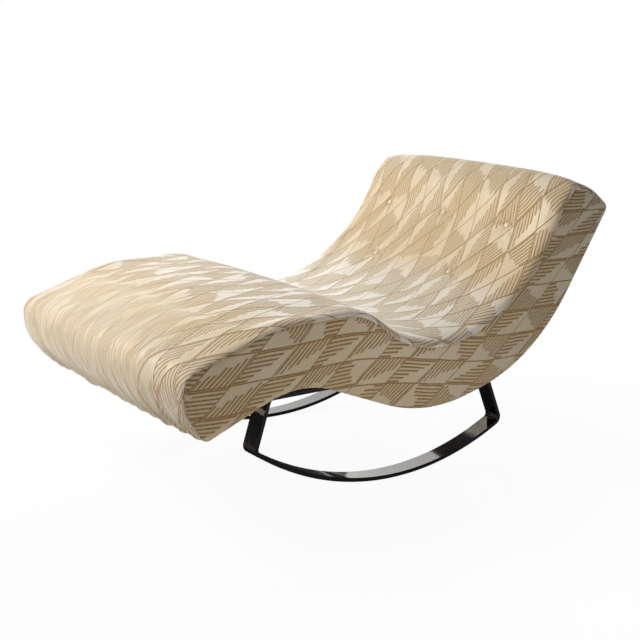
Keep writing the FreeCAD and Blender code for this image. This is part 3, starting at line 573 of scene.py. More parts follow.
def cut_pile_cloth(name, hatch_width, gloss):
    """The patterned cloth, drawn from a piece's UV map in metres."""
    finish, tree, shader, place = new_finish(name)
    cloth = new_node(tree, "UVMap", {}, uv_map="cloth").outputs[0]
    u, v = new_node(tree, "SeparateXYZ", {0: cloth}).outputs[:2]
    sway = noise(tree, cloth, scale=7.0, detail=1.0)
    level_way = calc(tree, "MULTIPLY_ADD", sway, SWAY_ACROSS, u)
    upward = calc(tree, "MULTIPLY_ADD", sway, SWAY_ALONG, v)
    lines, zone = lattice_of_cells(tree, level_way, upward, hatch_width)

    pile = noise(tree, cloth, scale=420.0, detail=3.0)
    fleck = noise(tree, cloth, scale=95.0, detail=3.0)
    cloud = noise(tree, cloth, scale=6.0)
    streaks = noise(tree, place, scale=1.0, detail=3.0, stretch=(62.0, 5.0, 5.0))
    hairs = noise(tree, velvet_way(tree, u, v), scale=1.0, detail=4.0)
    plainness = vertex_share(tree, "brushed")
    # painted sheen: the share of silvery colour laid where light grazes the pile
    sheen_share = vertex_share(tree, "painted_sheen")
    velvet = vertex_share(tree, "velvet")

    # satin and pile both turn silvery by the share of painted sheen
    satin = blend_colours(tree, sheen_share, CREAM_SATIN, SILVER)
    plush = blend_colours(tree, sheen_share, CREAM_PILE, GREIGE_PILE)
    zone_contrast = ramp(tree, calc(tree, "POWER", plainness, 4.0), *ZONE_CONTRAST)
    ground = blend_colours(tree, times(tree, zone, zone_contrast), satin, plush)
    shade_share = calc(tree, "MULTIPLY_ADD", plainness, *SHADE_SHARE)
    layers = (
        (times(tree, ramp(tree, streaks, *SHADE_STREAKS), shade_share), TAN_SHADE),
        # dark streaks, with painted shade in the fold valleys and round the buttons
        (vertex_share(tree, "dark_streak_and_shade"), TAN_SHADE),
        # pale streaks, and a painted sheen in the seat
        (vertex_share(tree, "pale_streak_and_sheen"), SILVER),
        (times(tree, velvet, VELVET_GREY), GREIGE_PILE),
        (times(tree, ramp(tree, hairs, *PALE_HAIRS), velvet), SILVER),
        (times(tree, ramp(tree, hairs, *DARK_HAIRS), velvet), TAN_SHADE),
        (times(tree, ramp(tree, cloud, *CLOUDS), CLOUD_SHARE), SILVER),
        (times(tree, pile, GRAIN_SHARE), CREAM_PILE),
    )
    for layer_share, colour in layers:
        ground = blend_colours(tree, layer_share, ground, colour)
    contrast = calc(tree, "SUBTRACT", 1.0, plainness)
    ink = times(tree, lines, calc(tree, "MULTIPLY_ADD", fleck, *FLECKED_INK))
    two_tone(tree, shader, ramp(tree, ink, contrast, 0.0), ground, TAN_LINE)

    rough = summed(tree, LEAST_ROUGHNESS, (zone, 0.20), (plainness, 0.12), (lines, 0.18))
    feed(tree, shader, {"Roughness": clipped(tree, rough), "Specular IOR Level": gloss})
    feed(tree, shader, {"Sheen Weight": 0.6, "Sheen Roughness": 0.32, "Sheen Tint": SHEEN_TINT})
    brushed = times(tree, hairs, velvet)
    height = summed(tree, 0.0, (lines, 0.9), (pile, 0.30), (zone, 0.30), (streaks, 1.6), (brushed, 2.4))
    raise_surface(tree, shader, height, distance=0.0012, strength=0.8)
    return finish


top_cloth = cut_pile_cloth("cut_pile_top", hatch_width=0.27, gloss=0.5)
side_cloth = cut_pile_cloth("cut_pile_side", hatch_width=0.42, gloss=0.2)
print(len(top_cloth.node_tree.nodes), "nodes draw the cloth")

# %% [markdown]
# ## The top cover
#
# One length of cloth runs under the foot end, up over the legs, down into the seat, up the back and
# over the head. It is crowned: the middle stands 26 mm above the side seams over the nose and 50 mm
# on the back, and the surface rounds off ever faster towards its long edges, at the head more so on
# the left than on the right. A grid suits it best, because each row then lies at a known distance
# along the cloth, so the pattern follows the wave as the real weave does.

# %% Grid of the top cover
HALF_WIDTH = BODY_WIDTH / 2
CROWN_PLACES = [0.0, 0.45, 0.75, 1.00, 1.30, 1.50]
CROWN_HEIGHTS = [0.026, 0.032, 0.038, 0.048, 0.050, 0.046]
CROWN_AT_END = 0.003
CROWN_RUN = 0.300
ROUND_PLACES = [0.05, 0.40, 1.22, 1.48]
ROUND_ACROSS = [2.5, 3.2, 3.2, 2.4]
ROUND_UP = [2.1, 2.6, 2.6, 2.0]
ROUND_ACROSS_RIGHT = [2.5, 3.2, 3.4, 3.8]
ROUND_UP_RIGHT = [2.1, 2.6, 2.7, 2.9]
HALF_SECTION_POINTS = 120
WRAP_UNDER = 0.030
SEAM_TUCK = 0.009
SEAM_LIP = [(SEAM_TUCK, -0.0035), (0.0035, -0.0022), (0.0008, -0.0008)]
COLUMNS = 161
ROW_STEP = 0.007


def ease(share):
    """Rises smoothly from 0 to 1."""
    return np.sin(np.pi / 2 * np.clip(share, 0, 1))


def cover_section(height, wide, station):
    """Evenly spaced points (x, level) across the cover, from its left seam to its right one."""
    share = np.sin(np.linspace(np.pi / 2, 0, HALF_SECTION_POINTS))
    lip = np.array([(wide - inward, low) for inward, low in SEAM_LIP])
    halves = []
    for rounds_across, rounds_up in ((ROUND_ACROSS_RIGHT, ROUND_UP_RIGHT), (ROUND_ACROSS, ROUND_UP)):
        across = np.interp(station, ROUND_PLACES, rounds_across)
        upward = np.interp(station, ROUND_PLACES, rounds_up)
        level = height * (1 - share**across) ** (1 / upward)
        halves.append(np.concatenate([lip, np.stack([wide * share, level], axis=1)]))
    right, left = halves
    mirrored = left[::-1][1:] * np.array((-1, 1))
    return resampled(np.concatenate([right, mirrored])[::-1], COLUMNS)


def cover_point(base, outward, x, level):
    """A point of the cover in the frame, from its place on the wave."""
    y, z = to_rest(*(base + outward * level))
    return x, y, z


whole_line = wave_line("arch", "belly_rear", ROW_STEP)


def distance_at(place):
    """How far along the whole line the point is that lies nearest to a place."""
    return whole_line[2][np.linalg.norm(whole_line[0] - place, axis=1).argmin()]


nose_distance = distance_at(rounding(CORNER["nose"])[1])
foot_limit = distance_at(rounding(CORNER["foot_low"])[0]) - WRAP_UNDER
head_limit = distance_at(rounding(CORNER["head_back"])[1]) + WRAP_UNDER
in_cover = (whole_line[2] >= foot_limit) & (whole_line[2] <= head_limit)
cover_line = [part[in_cover] for part in whole_line]
cover_starts, cover_ends = cover_line[2][0], cover_line[2][-1]
print("cover line of", len(cover_line[0]), "rows")

# %% [markdown]
# The pattern's own directions lie askew on the top: the level lines of the lattice lean 27.5 degrees
# to the right on the way to the head, so the slanting ones lean about 16 degrees to the left. Where
# the pile is brushed flat, the lines fade out: nearly all on the foot end, and by two fifths in the
# middle of the top.

# %% Cloth coordinates
RIGHT_EDGE = (0.14, 0.33)
LEFT_EDGE = (0.26, 0.39)
LEFT_EDGE_SHARE = 0.6
BRUSHED_FOOT = (0.03, 0.22)
BRUSHED_FARTHER = 0.09
EDGE_KEEPS_PATTERN = 0.9
PLAIN_MIDDLE = 0.40
PLAIN_BACK = 0.10
PLAIN_BACK_STARTS = (1.0, 1.3)
MOST_PLAIN = 0.97
# painted sheen: how much silvery colour is laid over the legs, the seat and the head, where light grazes
# the pile
LEG_SHEEN = 0.7
LEG_SHEEN_STARTS = (0.10, 0.34)
SEAT_SHEEN = 0.3
SEAT_SHEEN_STARTS = (0.40, 0.75)
SHEEN_ENDS = (1.04, 1.22)
LEFT_SHEEN = 0.80
MORE_SHEEN_RIGHT = 0.2
SHEEN_ACROSS = (-0.3, 0.3)
HEAD_SHEEN = 0.35
HEAD_SHEEN_STARTS = (1.44, 1.54)


def laid_askew(across, along):
    """A place on the flat cloth in the pattern's own directions, both in metres."""
    return (
        along * math.cos(LEAN) + across * math.sin(LEAN),
        along * math.sin(LEAN) - across * math.cos(LEAN),
    )


def smooth_step(low, high, value):
    """Rises from 0 at low to 1 at high, softly."""
    share = np.clip((value - low) / (high - low), 0, 1)
    return share * share * (3 - 2 * share)


def brushed_top(x, station):
    """How plain the top cover is at a place."""
    edge = np.maximum(smooth_step(*RIGHT_EDGE, x), LEFT_EDGE_SHARE * smooth_step(*LEFT_EDGE, -x))
    foot = 1 - smooth_step(*BRUSHED_FOOT, station - BRUSHED_FARTHER * (1 - edge))
    middle = PLAIN_MIDDLE * (1 - edge)
    back = PLAIN_BACK * smooth_step(*PLAIN_BACK_STARTS, station) * (1 - edge)
    plain = np.maximum(middle + back, foot * (1 - EDGE_KEEPS_PATTERN * edge))
    return np.clip(plain, 0, MOST_PLAIN)


def painted_sheen_top(x, station):
    """Share of painted sheen at a place: over the legs, in the seat and at the head."""
    body = LEG_SHEEN * smooth_step(*LEG_SHEEN_STARTS, station)
    body = body + SEAT_SHEEN * smooth_step(*SEAT_SHEEN_STARTS, station)
    body = body * (1 - smooth_step(*SHEEN_ENDS, station))
    body = body * (LEFT_SHEEN + MORE_SHEEN_RIGHT * smooth_step(*SHEEN_ACROSS, x))
    return np.clip(body + HEAD_SHEEN * smooth_step(*HEAD_SHEEN_STARTS, station), 0, 1)


def grid_faces(rows, columns, flip=False):
    """Faces of a grid of vertices kept row by row."""
    faces = []
    for i in range(rows - 1):
        for j in range(columns - 1):
            a = i * columns + j
            face = (a, a + 1, a + columns + 1, a + columns)
            faces.append(face[::-1] if flip else face)
    return faces


def keep_share(piece, name, shares):
    """Keeps a share from 0 to 1 at each vertex, for the cloth's material to read."""
    layer = piece.data.attributes.new(name, "FLOAT", "POINT")
    layer.data.foreach_set("value", np.clip(np.array(shares, dtype=np.float32), 0, 1))


def dress(piece, finish, flat_places, finer=False):
    """Gives a piece its finish, smooth shading and each vertex's place on the flat cloth, in metres."""
    layer = piece.data.uv_layers.new(name="cloth")
    for loop in piece.data.loops:
        layer.data[loop.index].uv = flat_places[loop.vertex_index]
    piece.data.materials.append(finish)
    piece.data.polygons.foreach_set("use_smooth", [True] * len(piece.data.polygons))
    if finer:
        subdivision = piece.modifiers.new("finer", "SUBSURF")
        subdivision.levels = 1
        subdivision.render_levels = 1


print("cloth coordinates ready")

# %% [markdown]
# The buttons draw the cover in, and fine puckers run from each one. Under the foot end the cloth is
# gathered before it is stapled, so it falls in narrow upright folds that lean to the right and die
# out over the nose.

# %% Dimples and folds
UPPER_ROW = 1.3976
LOWER_ROW = 1.1776
UPPER_SPREAD = 0.257
LOWER_SPREAD = 0.160
TUFTS = [(x, UPPER_ROW) for x in (-UPPER_SPREAD, 0.0, UPPER_SPREAD)]
TUFTS += [(x, LOWER_ROW) for x in (-LOWER_SPREAD, LOWER_SPREAD)]
TUFT_DEPTH = 0.013
TUFT_REACH = 0.030
TUFT_SHARPNESS = 1.25
PUCKERS = 7
PUCKER_HEIGHT = 0.0030
PUCKER_REACH = 0.055
PUCKER_TURN = 2.1
PUCKER_SWAY = 0.7
PUCKERS_START = (0.006, 0.016)
PUCKERS_END = 0.10
FOLD_SPAN = (-0.40, 0.50)
FOLDS_STOP = (0.368, 0.392)
FOLD_HEIGHT_AT_START = 0.45
FOLDS_FULL = (0.0, 0.05)
BUTTON_HOLD = 0.011
# width of the ring of painted shade round each button
RING_WIDTH = 0.006


def from_tuft(tuft, x, station):
    """Distance of places from a button."""
    return np.hypot(x - tuft[0], station - tuft[1])


def dimple(x, station):
    """How deep the cover is drawn in at a place, by the buttons."""
    depth = np.zeros_like(x)
    for tuft in TUFTS:
        reach = from_tuft(tuft, x, station)
        depth = np.maximum(depth, TUFT_DEPTH * np.exp(-((reach / TUFT_REACH) ** TUFT_SHARPNESS)))
    return depth


def puckers(x, station):
    """Relief of the small folds that run out from the buttons."""
    relief = np.zeros_like(x)
    first, full = PUCKERS_START
    for number, tuft in enumerate(TUFTS):
        reach = from_tuft(tuft, x, station)
        bearing = np.arctan2(station - tuft[1], x - tuft[0])
        uneven = PUCKER_TURN * number + PUCKER_SWAY * np.sin(2 * bearing + number)
        fade = np.exp(-((reach - full) / PUCKER_REACH) ** 2) * smooth_step(first, full, reach)
        fade = fade * np.clip(1 - reach / PUCKERS_END, 0, 1)
        relief += PUCKER_HEIGHT * np.cos(PUCKERS * bearing + uneven) * fade
    return relief


rng = np.random.default_rng(7)


def drawn_folds(count, widths, heights, reaches):
    """Random folds, each with its place, width, height and reach up from the foot end."""
    low, high = FOLD_SPAN
    spots = np.linspace(low, high, count) + rng.uniform(-0.5, 0.5, count) * (high - low) / count
    sizes = [rng.uniform(*span, count) for span in (widths, heights, reaches)]
    return np.stack([spots, *sizes])


deep_folds = drawn_folds(
    count=17, widths=(0.0045, 0.0075), heights=(-0.0080, -0.0038), reaches=(0.095, 0.170)
)
fine_folds = drawn_folds(
    count=52, widths=(0.0036, 0.0055), heights=(-0.0024, 0.0026), reaches=(0.11, 0.22)
)
all_folds = np.concatenate([deep_folds, fine_folds], axis=1)


def pulled_folds(x, from_foot):
    """Relief of the folds that the cloth makes where it is drawn under the foot end."""
    relief = np.zeros_like(x)
    at_start = FOLD_HEIGHT_AT_START + (1 - FOLD_HEIGHT_AT_START) * smooth_step(*FOLDS_FULL, from_foot)
    within = 1 - smooth_step(*FOLDS_STOP, np.abs(x))
    for fold_x, width, height, reach in all_folds.T:
        centre = fold_x - FOLD_LEAN * from_foot
        fade = np.exp(-((from_foot / reach) ** 2)) * within * at_start
        relief += height * np.exp(-(((x - centre) / width) ** 2)) * fade
    return relief


STREAK_CELL = 0.0042
WIDE_STREAK = 4
STREAKS = 400
WIDE_STREAKS = 120
FINE_SHARE = 0.6
STREAKS_START = -0.6
streak_tones = rng.uniform(0, 1, STREAKS)
wide_tones = rng.uniform(0, 1, WIDE_STREAKS)


def streak_tone(x, from_foot):
    """Tone of the brushed pile, from 0 to 1, in streaks that run along the folds."""
    cells = (x + FOLD_LEAN * from_foot - STREAKS_START) / STREAK_CELL
    fine = np.interp(cells, np.arange(STREAKS), streak_tones)
    wide = np.interp(cells / WIDE_STREAK, np.arange(WIDE_STREAKS), wide_tones)
    return FINE_SHARE * fine + (1 - FINE_SHARE) * wide


print(all_folds.shape[1], "folds at the foot end")

# %% Build the grid
places, cloth_places, x_places, stations = [], [], [], []
for base, outward, distance in zip(*cover_line):
    from_ends = np.array((distance - cover_starts, cover_ends - distance))
    rise = np.prod(ease((from_ends - WRAP_UNDER) / CROWN_RUN))
    crown = np.interp(distance - nose_distance, CROWN_PLACES, CROWN_HEIGHTS)
    height = CROWN_AT_END + (crown - CROWN_AT_END) * rise
    wide = HALF_WIDTH - CROWN_AT_END * (1 - rise)
    section = cover_section(height, wide, distance - nose_distance)
    x = section[:, 0]
    station = np.full_like(x, distance - nose_distance)
    level = section[:, 1] - dimple(x, station)
    places += [cover_point(base, outward, a, b) for a, b in zip(x, level)]
    from_seam = run_lengths(section)
    cloth_places += [laid_askew(across - from_seam[-1] / 2, distance) for across in from_seam]
    x_places.append(x)
    stations.append(station)

x_places, stations = np.array(x_places), np.array(stations)
top_cover = mesh_object("top_upholstery", places, grid_faces(len(x_places), COLUMNS, flip=True))
print("top cover:", len(places), "vertices")

# %% [markdown]
# Cloth over foam isn't stiff. A short cloth simulation lets air pressure push the cover out between
# its seams and buttons, while every other vertex keeps a weak pull to its place, as the foam gives.
# The seams and the cloth under the buttons are pinned, and the pull grows softly towards them and
# towards the nose and the head, where the cloth is stretched tight. The moves are then smoothed, and
# eased off so that none passes 12 mm. They are written back into the mesh, and no simulation stays on
# the piece.

# %% Simulate the cover
PRESSURE = 4.0
FOAM_HOLD = 0.04
END_FIRMNESS = 0.78
NOSE_FREES = (0.00, 0.30)
HEAD_HOLDS = (1.34, 1.52)
SIDE_FREES = (5, 16)
FIRM_ROWS = 3
FIRMNESS_STEPS = 20
SIMULATED_FRAMES = 20
MOST_MOVE = 0.012
LEAST_MOVE = 1e-9
# a shrinkage, so this makes the cloth half a percent larger
CLOTH_SLACK = -0.005
SMOOTHINGS = 12


def read_corners(mesh):
    """All vertex coordinates of a mesh, in one row."""
    row = np.zeros(len(mesh.vertices) * 3)
    mesh.vertices.foreach_get("co", row)
    return row


def let_cloth_settle(piece, hold):
    """Swells a grid of cloth that is held in place in given shares; returns how far each vertex moved."""
    group = piece.vertex_groups.new(name="held")
    for share in np.unique(hold):
        group.add([int(i) for i in np.flatnonzero(hold.reshape(-1) == share)], float(share), "REPLACE")
    cloth = piece.modifiers.new("cloth", "CLOTH")
    cloth.settings.vertex_group_mass = "held"
    cloth.settings.pin_stiffness = 1.0
    cloth.settings.quality = 6
    cloth.settings.mass = 0.4
    cloth.settings.tension_stiffness = 40
    cloth.settings.compression_stiffness = 20
    cloth.settings.bending_stiffness = 0.3
    cloth.settings.shrink_min = CLOTH_SLACK
    cloth.settings.use_pressure = True
    cloth.settings.uniform_pressure_force = PRESSURE
    cloth.settings.effector_weights.gravity = 0
    cloth.collision_settings.use_collision = False
    cloth.point_cache.frame_start = 1
    cloth.point_cache.frame_end = SIMULATED_FRAMES
    for frame_number in range(1, SIMULATED_FRAMES + 1):
        bpy.context.scene.frame_set(frame_number)
    settled = piece.evaluated_get(bpy.context.evaluated_depsgraph_get()).to_mesh()
    start = read_corners(piece.data)
    shift = (read_corners(settled) - start).reshape(*hold.shape, 3)
    for _ in range(SMOOTHINGS):
        inner = shift[1:-1, 1:-1]
        around = shift[:-2, 1:-1] + shift[2:, 1:-1] + shift[1:-1, :-2] + shift[1:-1, 2:]
        shift[1:-1, 1:-1] = (inner + around) / 5
    shift = shift.reshape(-1, 3)
    piece.modifiers.remove(cloth)
    piece.vertex_groups.remove(group)
    bpy.context.scene.frame_set(1)
    length = np.linalg.norm(shift, axis=1)
    eased_length = MOST_MOVE * np.tanh(length / MOST_MOVE)
    shift *= (eased_length / np.maximum(length, LEAST_MOVE))[:, None]
    piece.data.vertices.foreach_set("co", start + shift.reshape(-1))
    piece.data.update()
    return np.linalg.norm(shift, axis=1)


at_ends = np.maximum(1 - smooth_step(*NOSE_FREES, stations), smooth_step(*HEAD_HOLDS, stations))
from_side = np.minimum(np.arange(COLUMNS), np.arange(COLUMNS)[::-1])
firm = np.maximum(END_FIRMNESS * at_ends, 1 - smooth_step(*SIDE_FREES, from_side))
for tuft in TUFTS:
    at_button = 1 - smooth_step(BUTTON_HOLD, 2 * BUTTON_HOLD, from_tuft(tuft, x_places, stations))
    firm = np.maximum(firm, at_button)
firm[:FIRM_ROWS] = firm[-FIRM_ROWS:] = 1.0
hold = FOAM_HOLD ** (1 - np.round(firm * FIRMNESS_STEPS) / FIRMNESS_STEPS)
moves = let_cloth_settle(top_cover, hold)
print("cover moved by up to", round(moves.max() * 1000, 1), "mm, mean", round(moves.mean() * 1000, 1))

# %% [markdown]
# The narrow folds and puckers are smaller than the simulation can make on this grid, so they are
# pressed into the settled mesh, each vertex along its own normal.

# %% Press in folds and puckers
FOLDS_START = 0.01
BRUSHED_REACH = (0.16, 0.42)
DARK_ABOVE = 0.48
PALE_BELOW = 0.46
PALE_STRENGTH = 2.2
# how much painted shade darkens the fold valleys, by their depth
FOLD_PAINTED_SHADE = 150
# where the seat is made paler by a painted sheen
SEAT_STARTS = (0.62, 0.80)
SEAT_ENDS = (1.05, 1.22)
SEAT_PALE_SHEEN = 0.30

x_all, station_all = x_places.reshape(-1), stations.reshape(-1)
from_foot_all = np.maximum(station_all + nose_distance - cover_starts - FOLDS_START, 0.0)
folds = pulled_folds(x_all, from_foot_all)
relief = puckers(x_all, station_all) + folds
corners = read_corners(top_cover.data)
normals = np.zeros_like(corners)
top_cover.data.vertices.foreach_get("normal", normals)
top_cover.data.vertices.foreach_set("co", corners + normals * np.repeat(relief, 3))
top_cover.data.update()

tone = streak_tone(x_all, from_foot_all)
brushed_foot = 1 - smooth_step(*BRUSHED_REACH, from_foot_all)
# painted shade: a dark ring where the cloth is drawn in round each button
ring = np.zeros_like(x_all)
for tuft in TUFTS:
    from_hold = from_tuft(tuft, x_all, station_all) - BUTTON_HOLD
    ring = np.maximum(ring, np.exp(-((from_hold / RING_WIDTH) ** 2)))
# dark streaks of the brushed pile, with painted shade in the fold valleys
dark_streak_and_shade = np.clip(tone - DARK_ABOVE, 0, 1) - FOLD_PAINTED_SHADE * np.minimum(folds, 0)
pale_streak_and_sheen = PALE_STRENGTH * np.clip(PALE_BELOW - tone, 0, 1)
# painted sheen: the seat turns paler and silvery
in_seat = smooth_step(*SEAT_STARTS, station_all) * (1 - smooth_step(*SEAT_ENDS, station_all))
keep_share(top_cover, "brushed", brushed_top(x_all, station_all))
# the share of painted sheen at each vertex
keep_share(top_cover, "painted_sheen", painted_sheen_top(x_all, station_all))
keep_share(top_cover, "velvet", brushed_foot)
# dark streaks, with painted shade round the buttons and in the fold valleys
keep_share(top_cover, "dark_streak_and_shade", ring + brushed_foot * dark_streak_and_shade)
# pale streaks of the brushed pile, and a painted sheen in the seat
keep_share(top_cover, "pale_streak_and_sheen", brushed_foot * pale_streak_and_sheen + SEAT_PALE_SHEEN * in_seat)
dress(top_cover, top_cloth, cloth_places, finer=True)
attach(top_cover, "root")
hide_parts("top_cover", "foam_pad")
print("top upholstery stands for the foam pad and its cover")

# %% [markdown]
# ## The side covers
#
# Each side is one flat piece of the same cloth over thin foam, cut to the wave and sewn to the top
# cover along its edge without a welt. The level lines of the pattern dip a little under the seat,
# where the cloth was pulled to the wave. Its edge rolls in to meet the top cover, which leaves the
# fine dark seam.

# %% Build the side covers
SIDE_ROWS = 30
SIDE_COLUMNS = 190
SIDE_EDGE = 0.010
SIDE_SWELL = 0.003
SIDE_SWELL_RUN = 0.06
SIDE_INSET = 0.0005
OUTLINE_STEP = 0.006
OUTLINE_SHARP_STEP = 0.002
WEAVE_START = 0.023
WEAVE_PLACES = [0.0, 0.22, 0.35, 0.45, 0.55, 0.65, 0.80, 0.93, 1.05, 1.18, 1.35, 1.5]
WEAVE_SLOPES = [-0.13, -0.065, -0.01, -0.07, -0.15, -0.22, -0.26, -0.25, -0.12, -0.10, -0.08, -0.04]
WEAVE_SAMPLES = np.linspace(0, 1.6, 321)


def outline(first, last):
    """Points of the side's outline from one corner of the wave to another."""
    return wave_line(first, last, OUTLINE_STEP, OUTLINE_SHARP_STEP, round_last=True)[0]


def bridged(start, line, end):
    """A line of points that is led on to a start and an end, spaced evenly."""
    return resampled(np.concatenate([[start], line, [end]]), SIDE_ROWS)


outline_top = outline("nose", "head_front")
outline_foot = outline("foot_low", "nose")
outline_head = outline("head_front", "head_back")
outline_under = outline("head_back", "foot_low")
corner_loop = np.concatenate([outline_foot, outline_top, outline_head, outline_under])
top_edge = resampled(outline_top, SIDE_COLUMNS)
under_edge = resampled(outline_under[::-1], SIDE_COLUMNS)
foot_edge = bridged(under_edge[0], outline_foot, top_edge[0])
head_edge = bridged(top_edge[-1], outline_head, under_edge[-1])[::-1]


def side_patch():
    """Grid of (y, z) places that fills the side between its four edges."""
    u = np.linspace(0, 1, SIDE_COLUMNS)[None, :, None]
    v = np.linspace(0, 1, SIDE_ROWS)[:, None, None]
    across = (1 - v) * under_edge + v * top_edge
    along = (1 - u) * foot_edge[:, None] + u * head_edge[:, None]
    at_foot = (1 - u) * ((1 - v) * under_edge[0] + v * top_edge[0])
    at_head = u * ((1 - v) * under_edge[-1] + v * top_edge[-1])
    return across + along - at_foot - at_head


patch = side_patch().reshape(-1, 2)
slope = np.interp(WEAVE_SAMPLES, WEAVE_PLACES, WEAVE_SLOPES)
falls = (slope[1:] + slope[:-1]) / 2 * np.diff(WEAVE_SAMPLES)
weave_line = np.concatenate(([0], np.cumsum(falls)))
weave_level = patch[:, 1] - np.interp(patch[:, 0], WEAVE_SAMPLES, weave_line) + WEAVE_START
to_edge = np.array([np.linalg.norm(corner_loop - place, axis=1).min() for place in patch])
rolled = np.sqrt(1 - (1 - np.clip(to_edge / SIDE_EDGE, 0, 1)) ** 2)
swell = SIDE_SWELL * ease(to_edge / SIDE_SWELL_RUN)
side_x = HALF_WIDTH - SEAM_TUCK * (1 - rolled) + swell - SIDE_INSET
print("side cover:", len(patch), "vertices")

for side_name, side in (("left", -1), ("right", 1)):
    points = [(side * x, *to_rest(y, z)) for (y, z), x in zip(patch, side_x)]
    faces = grid_faces(SIDE_ROWS, SIDE_COLUMNS, flip=side < 0)
    piece = mesh_object("side_upholstery_" + side_name, points, faces)
    dress(piece, side_cloth, list(zip(side * patch[:, 0], weave_level)), finer=True)
    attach(piece, "root")
    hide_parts("side_cover_" + side_name, "side_pad_" + side_name)
    print(piece.name, "stands for the side cover and its foam")

# %% [markdown]
# ## The underside
#
# Behind the back the cloth is pulled flat over the bent board. Under the legs and the seat a plain
# black dust cloth closes the frame, slit where the steel loops pass through it. Both are single
# sheets, so they are drawn as sheets, without thickness.

# %% Build the outside back and the dust cover
SHEET_COLUMNS = 41
SHEET_INSET = 0.0045
UNDER_STEP = 0.012
JOIN_STATION = 1.130
DUST_BLACK = (0.012, 0.012, 0.013, 1)
DUST_GREY = (0.035, 0.034, 0.034, 1)
under_line = wave_line("head_back", "foot_low", UNDER_STEP)
under_station = under_line[0][:, 0]


def stretched_sheet(name, keep, finish, node, raised):
    """A sheet over part of the underside, kept where a test of its points is true."""
    points, outwards, distance = [part[keep] for part in under_line]
    sheet_half = HALF_WIDTH - SHEET_INSET
    x_places = np.linspace(-sheet_half, sheet_half, SHEET_COLUMNS)
    places, flat_places = [], []
    for base, outward, along in zip(points, outwards, distance):
        for x in x_places:
            places.append(cover_point(base, outward, x, raised))
            flat_places.append(laid_askew(x, along))
    piece = mesh_object(name, places, grid_faces(len(points), SHEET_COLUMNS, flip=True))
    dress(piece, finish, flat_places)
    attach(piece, "root")
    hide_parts(node)


def dust_cloth():
    """Plain black spunbonded cloth."""
    finish, tree, shader, place = new_finish("dust_cloth", roughness=0.85)
    fibres = noise(tree, place, scale=900.0, detail=3.0)
    patches = noise(tree, place, scale=40.0)
    two_tone(tree, shader, summed(tree, 0.0, (fibres, 0.5), (patches, 0.5)), DUST_BLACK, DUST_GREY)
    raise_surface(tree, shader, fibres, distance=0.0003)
    return finish


stretched_sheet(
    "outside_back",
    keep=under_station >= JOIN_STATION,
    finish=side_cloth,
    node="back_cover",
    raised=0.0002,
)
stretched_sheet(
    "dust_sheet",
    keep=under_station <= JOIN_STATION + UNDER_STEP,
    finish=dust_cloth(),
    node="dust_cover",
    raised=-0.0008,
)

# %% [markdown]
# ## The buttons
#
# Five small buttons, covered in the same cloth, are drawn into the back by a twine. A real one is a
# tin dome with cloth gathered round it, so its edge is a ring of small pleats. The dome is turned
# from a half section, and each pleat presses its rim in a little.

# %% Build the buttons
BUTTON_RADIUS = 0.009
BUTTON_RIM = 0.002
BUTTON_RISE = 0.0042
BUTTON_SECTION = [
    # share of the radius, share of the rise, or of the rim where it is negative
    (0.0, 1.0),
    (0.25, 0.985),
    (0.5, 0.93),
    (0.72, 0.80),
    (0.88, 0.55),
    (0.97, 0.2),
    (1.0, -0.25),
    (0.96, -0.8),
]
BELOW_RIM = 1.4
PLEATS = 22
PLEAT_DEPTH = 0.035
PLEATS_START = 0.6
SPOKES = 88
ROWS_EACH_WAY = 4
# painted highlight: the buttons are coloured paler than the cover
BUTTON_HIGHLIGHT_PALE = (0.92, 0.85, 0.71, 1)
BUTTON_CREAM = (0.76, 0.64, 0.45, 1)


def cover_at(tuft):
    """Place of the cover under a button, with directions across, along and out of it."""
    reach = from_tuft(tuft, x_places, stations)
    row, column = np.unravel_index(reach.argmin(), reach.shape)
    back, here, ahead = [
        top_cover.data.vertices[int(nearby * COLUMNS + column)].co
        for nearby in (row - ROWS_EACH_WAY, row, row + ROWS_EACH_WAY)
    ]
    along = (ahead - back).normalized()
    across = Vector((1, 0, 0))
    return here.copy(), across, along, across.cross(along).normalized()


def plain_button_cloth():
    """The same cloth drawn tight over a button: plain and shiny, and painted paler as a highlight."""
    finish, tree, shader, place = new_finish("button_cloth", roughness=0.24)
    grain = noise(tree, place, scale=900.0)
    two_tone(tree, shader, grain, BUTTON_HIGHLIGHT_PALE, BUTTON_CREAM)
    feed(tree, shader, {"Sheen Weight": 0.5})
    raise_surface(tree, shader, grain, distance=0.0004)
    return finish


button_cloth = plain_button_cloth()
button_faces = grid_faces(len(BUTTON_SECTION), SPOKES)
for first in range(0, (len(BUTTON_SECTION) - 1) * SPOKES, SPOKES):
    button_faces.append((first + SPOKES - 1, first, first + SPOKES, first + 2 * SPOKES - 1))
for number, tuft in enumerate(TUFTS, start=1):
    seat, across, along, out = cover_at(tuft)
    points, flat_places = [], []
    for share, level in BUTTON_SECTION:
        pleated = PLEAT_DEPTH * max(0.0, share - PLEATS_START) / (1 - PLEATS_START)
        height = BUTTON_RIM + level * (BUTTON_RISE if level > 0 else BUTTON_RIM * BELOW_RIM)
        for spoke in range(SPOKES):
            angle = 2 * math.pi * spoke / SPOKES
            radius = BUTTON_RADIUS * share * (1 - pleated * (0.5 + 0.5 * math.cos(PLEATS * angle)))
            right, ahead = radius * math.cos(angle), radius * math.sin(angle)
            points.append(seat + across * right + along * ahead + out * height)
            flat_places.append((tuft[0] + right, tuft[1] + ahead))
    button = mesh_object("button_%d" % number, points, button_faces)
    dress(button, button_cloth, flat_places)
    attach(button, "root")
    if number == 1:
        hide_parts("buttons")
print(len(TUFTS), "buttons")

# %% [markdown]
# ## The steel loops
#
# The base is polished flat bar: a mirror that shows the room as dark and pale bands. Its solids are
# right as they are, so they only get eased edges, from a bevel modifier, and a mirror finish with the
# faint haze and swirls that polishing leaves.

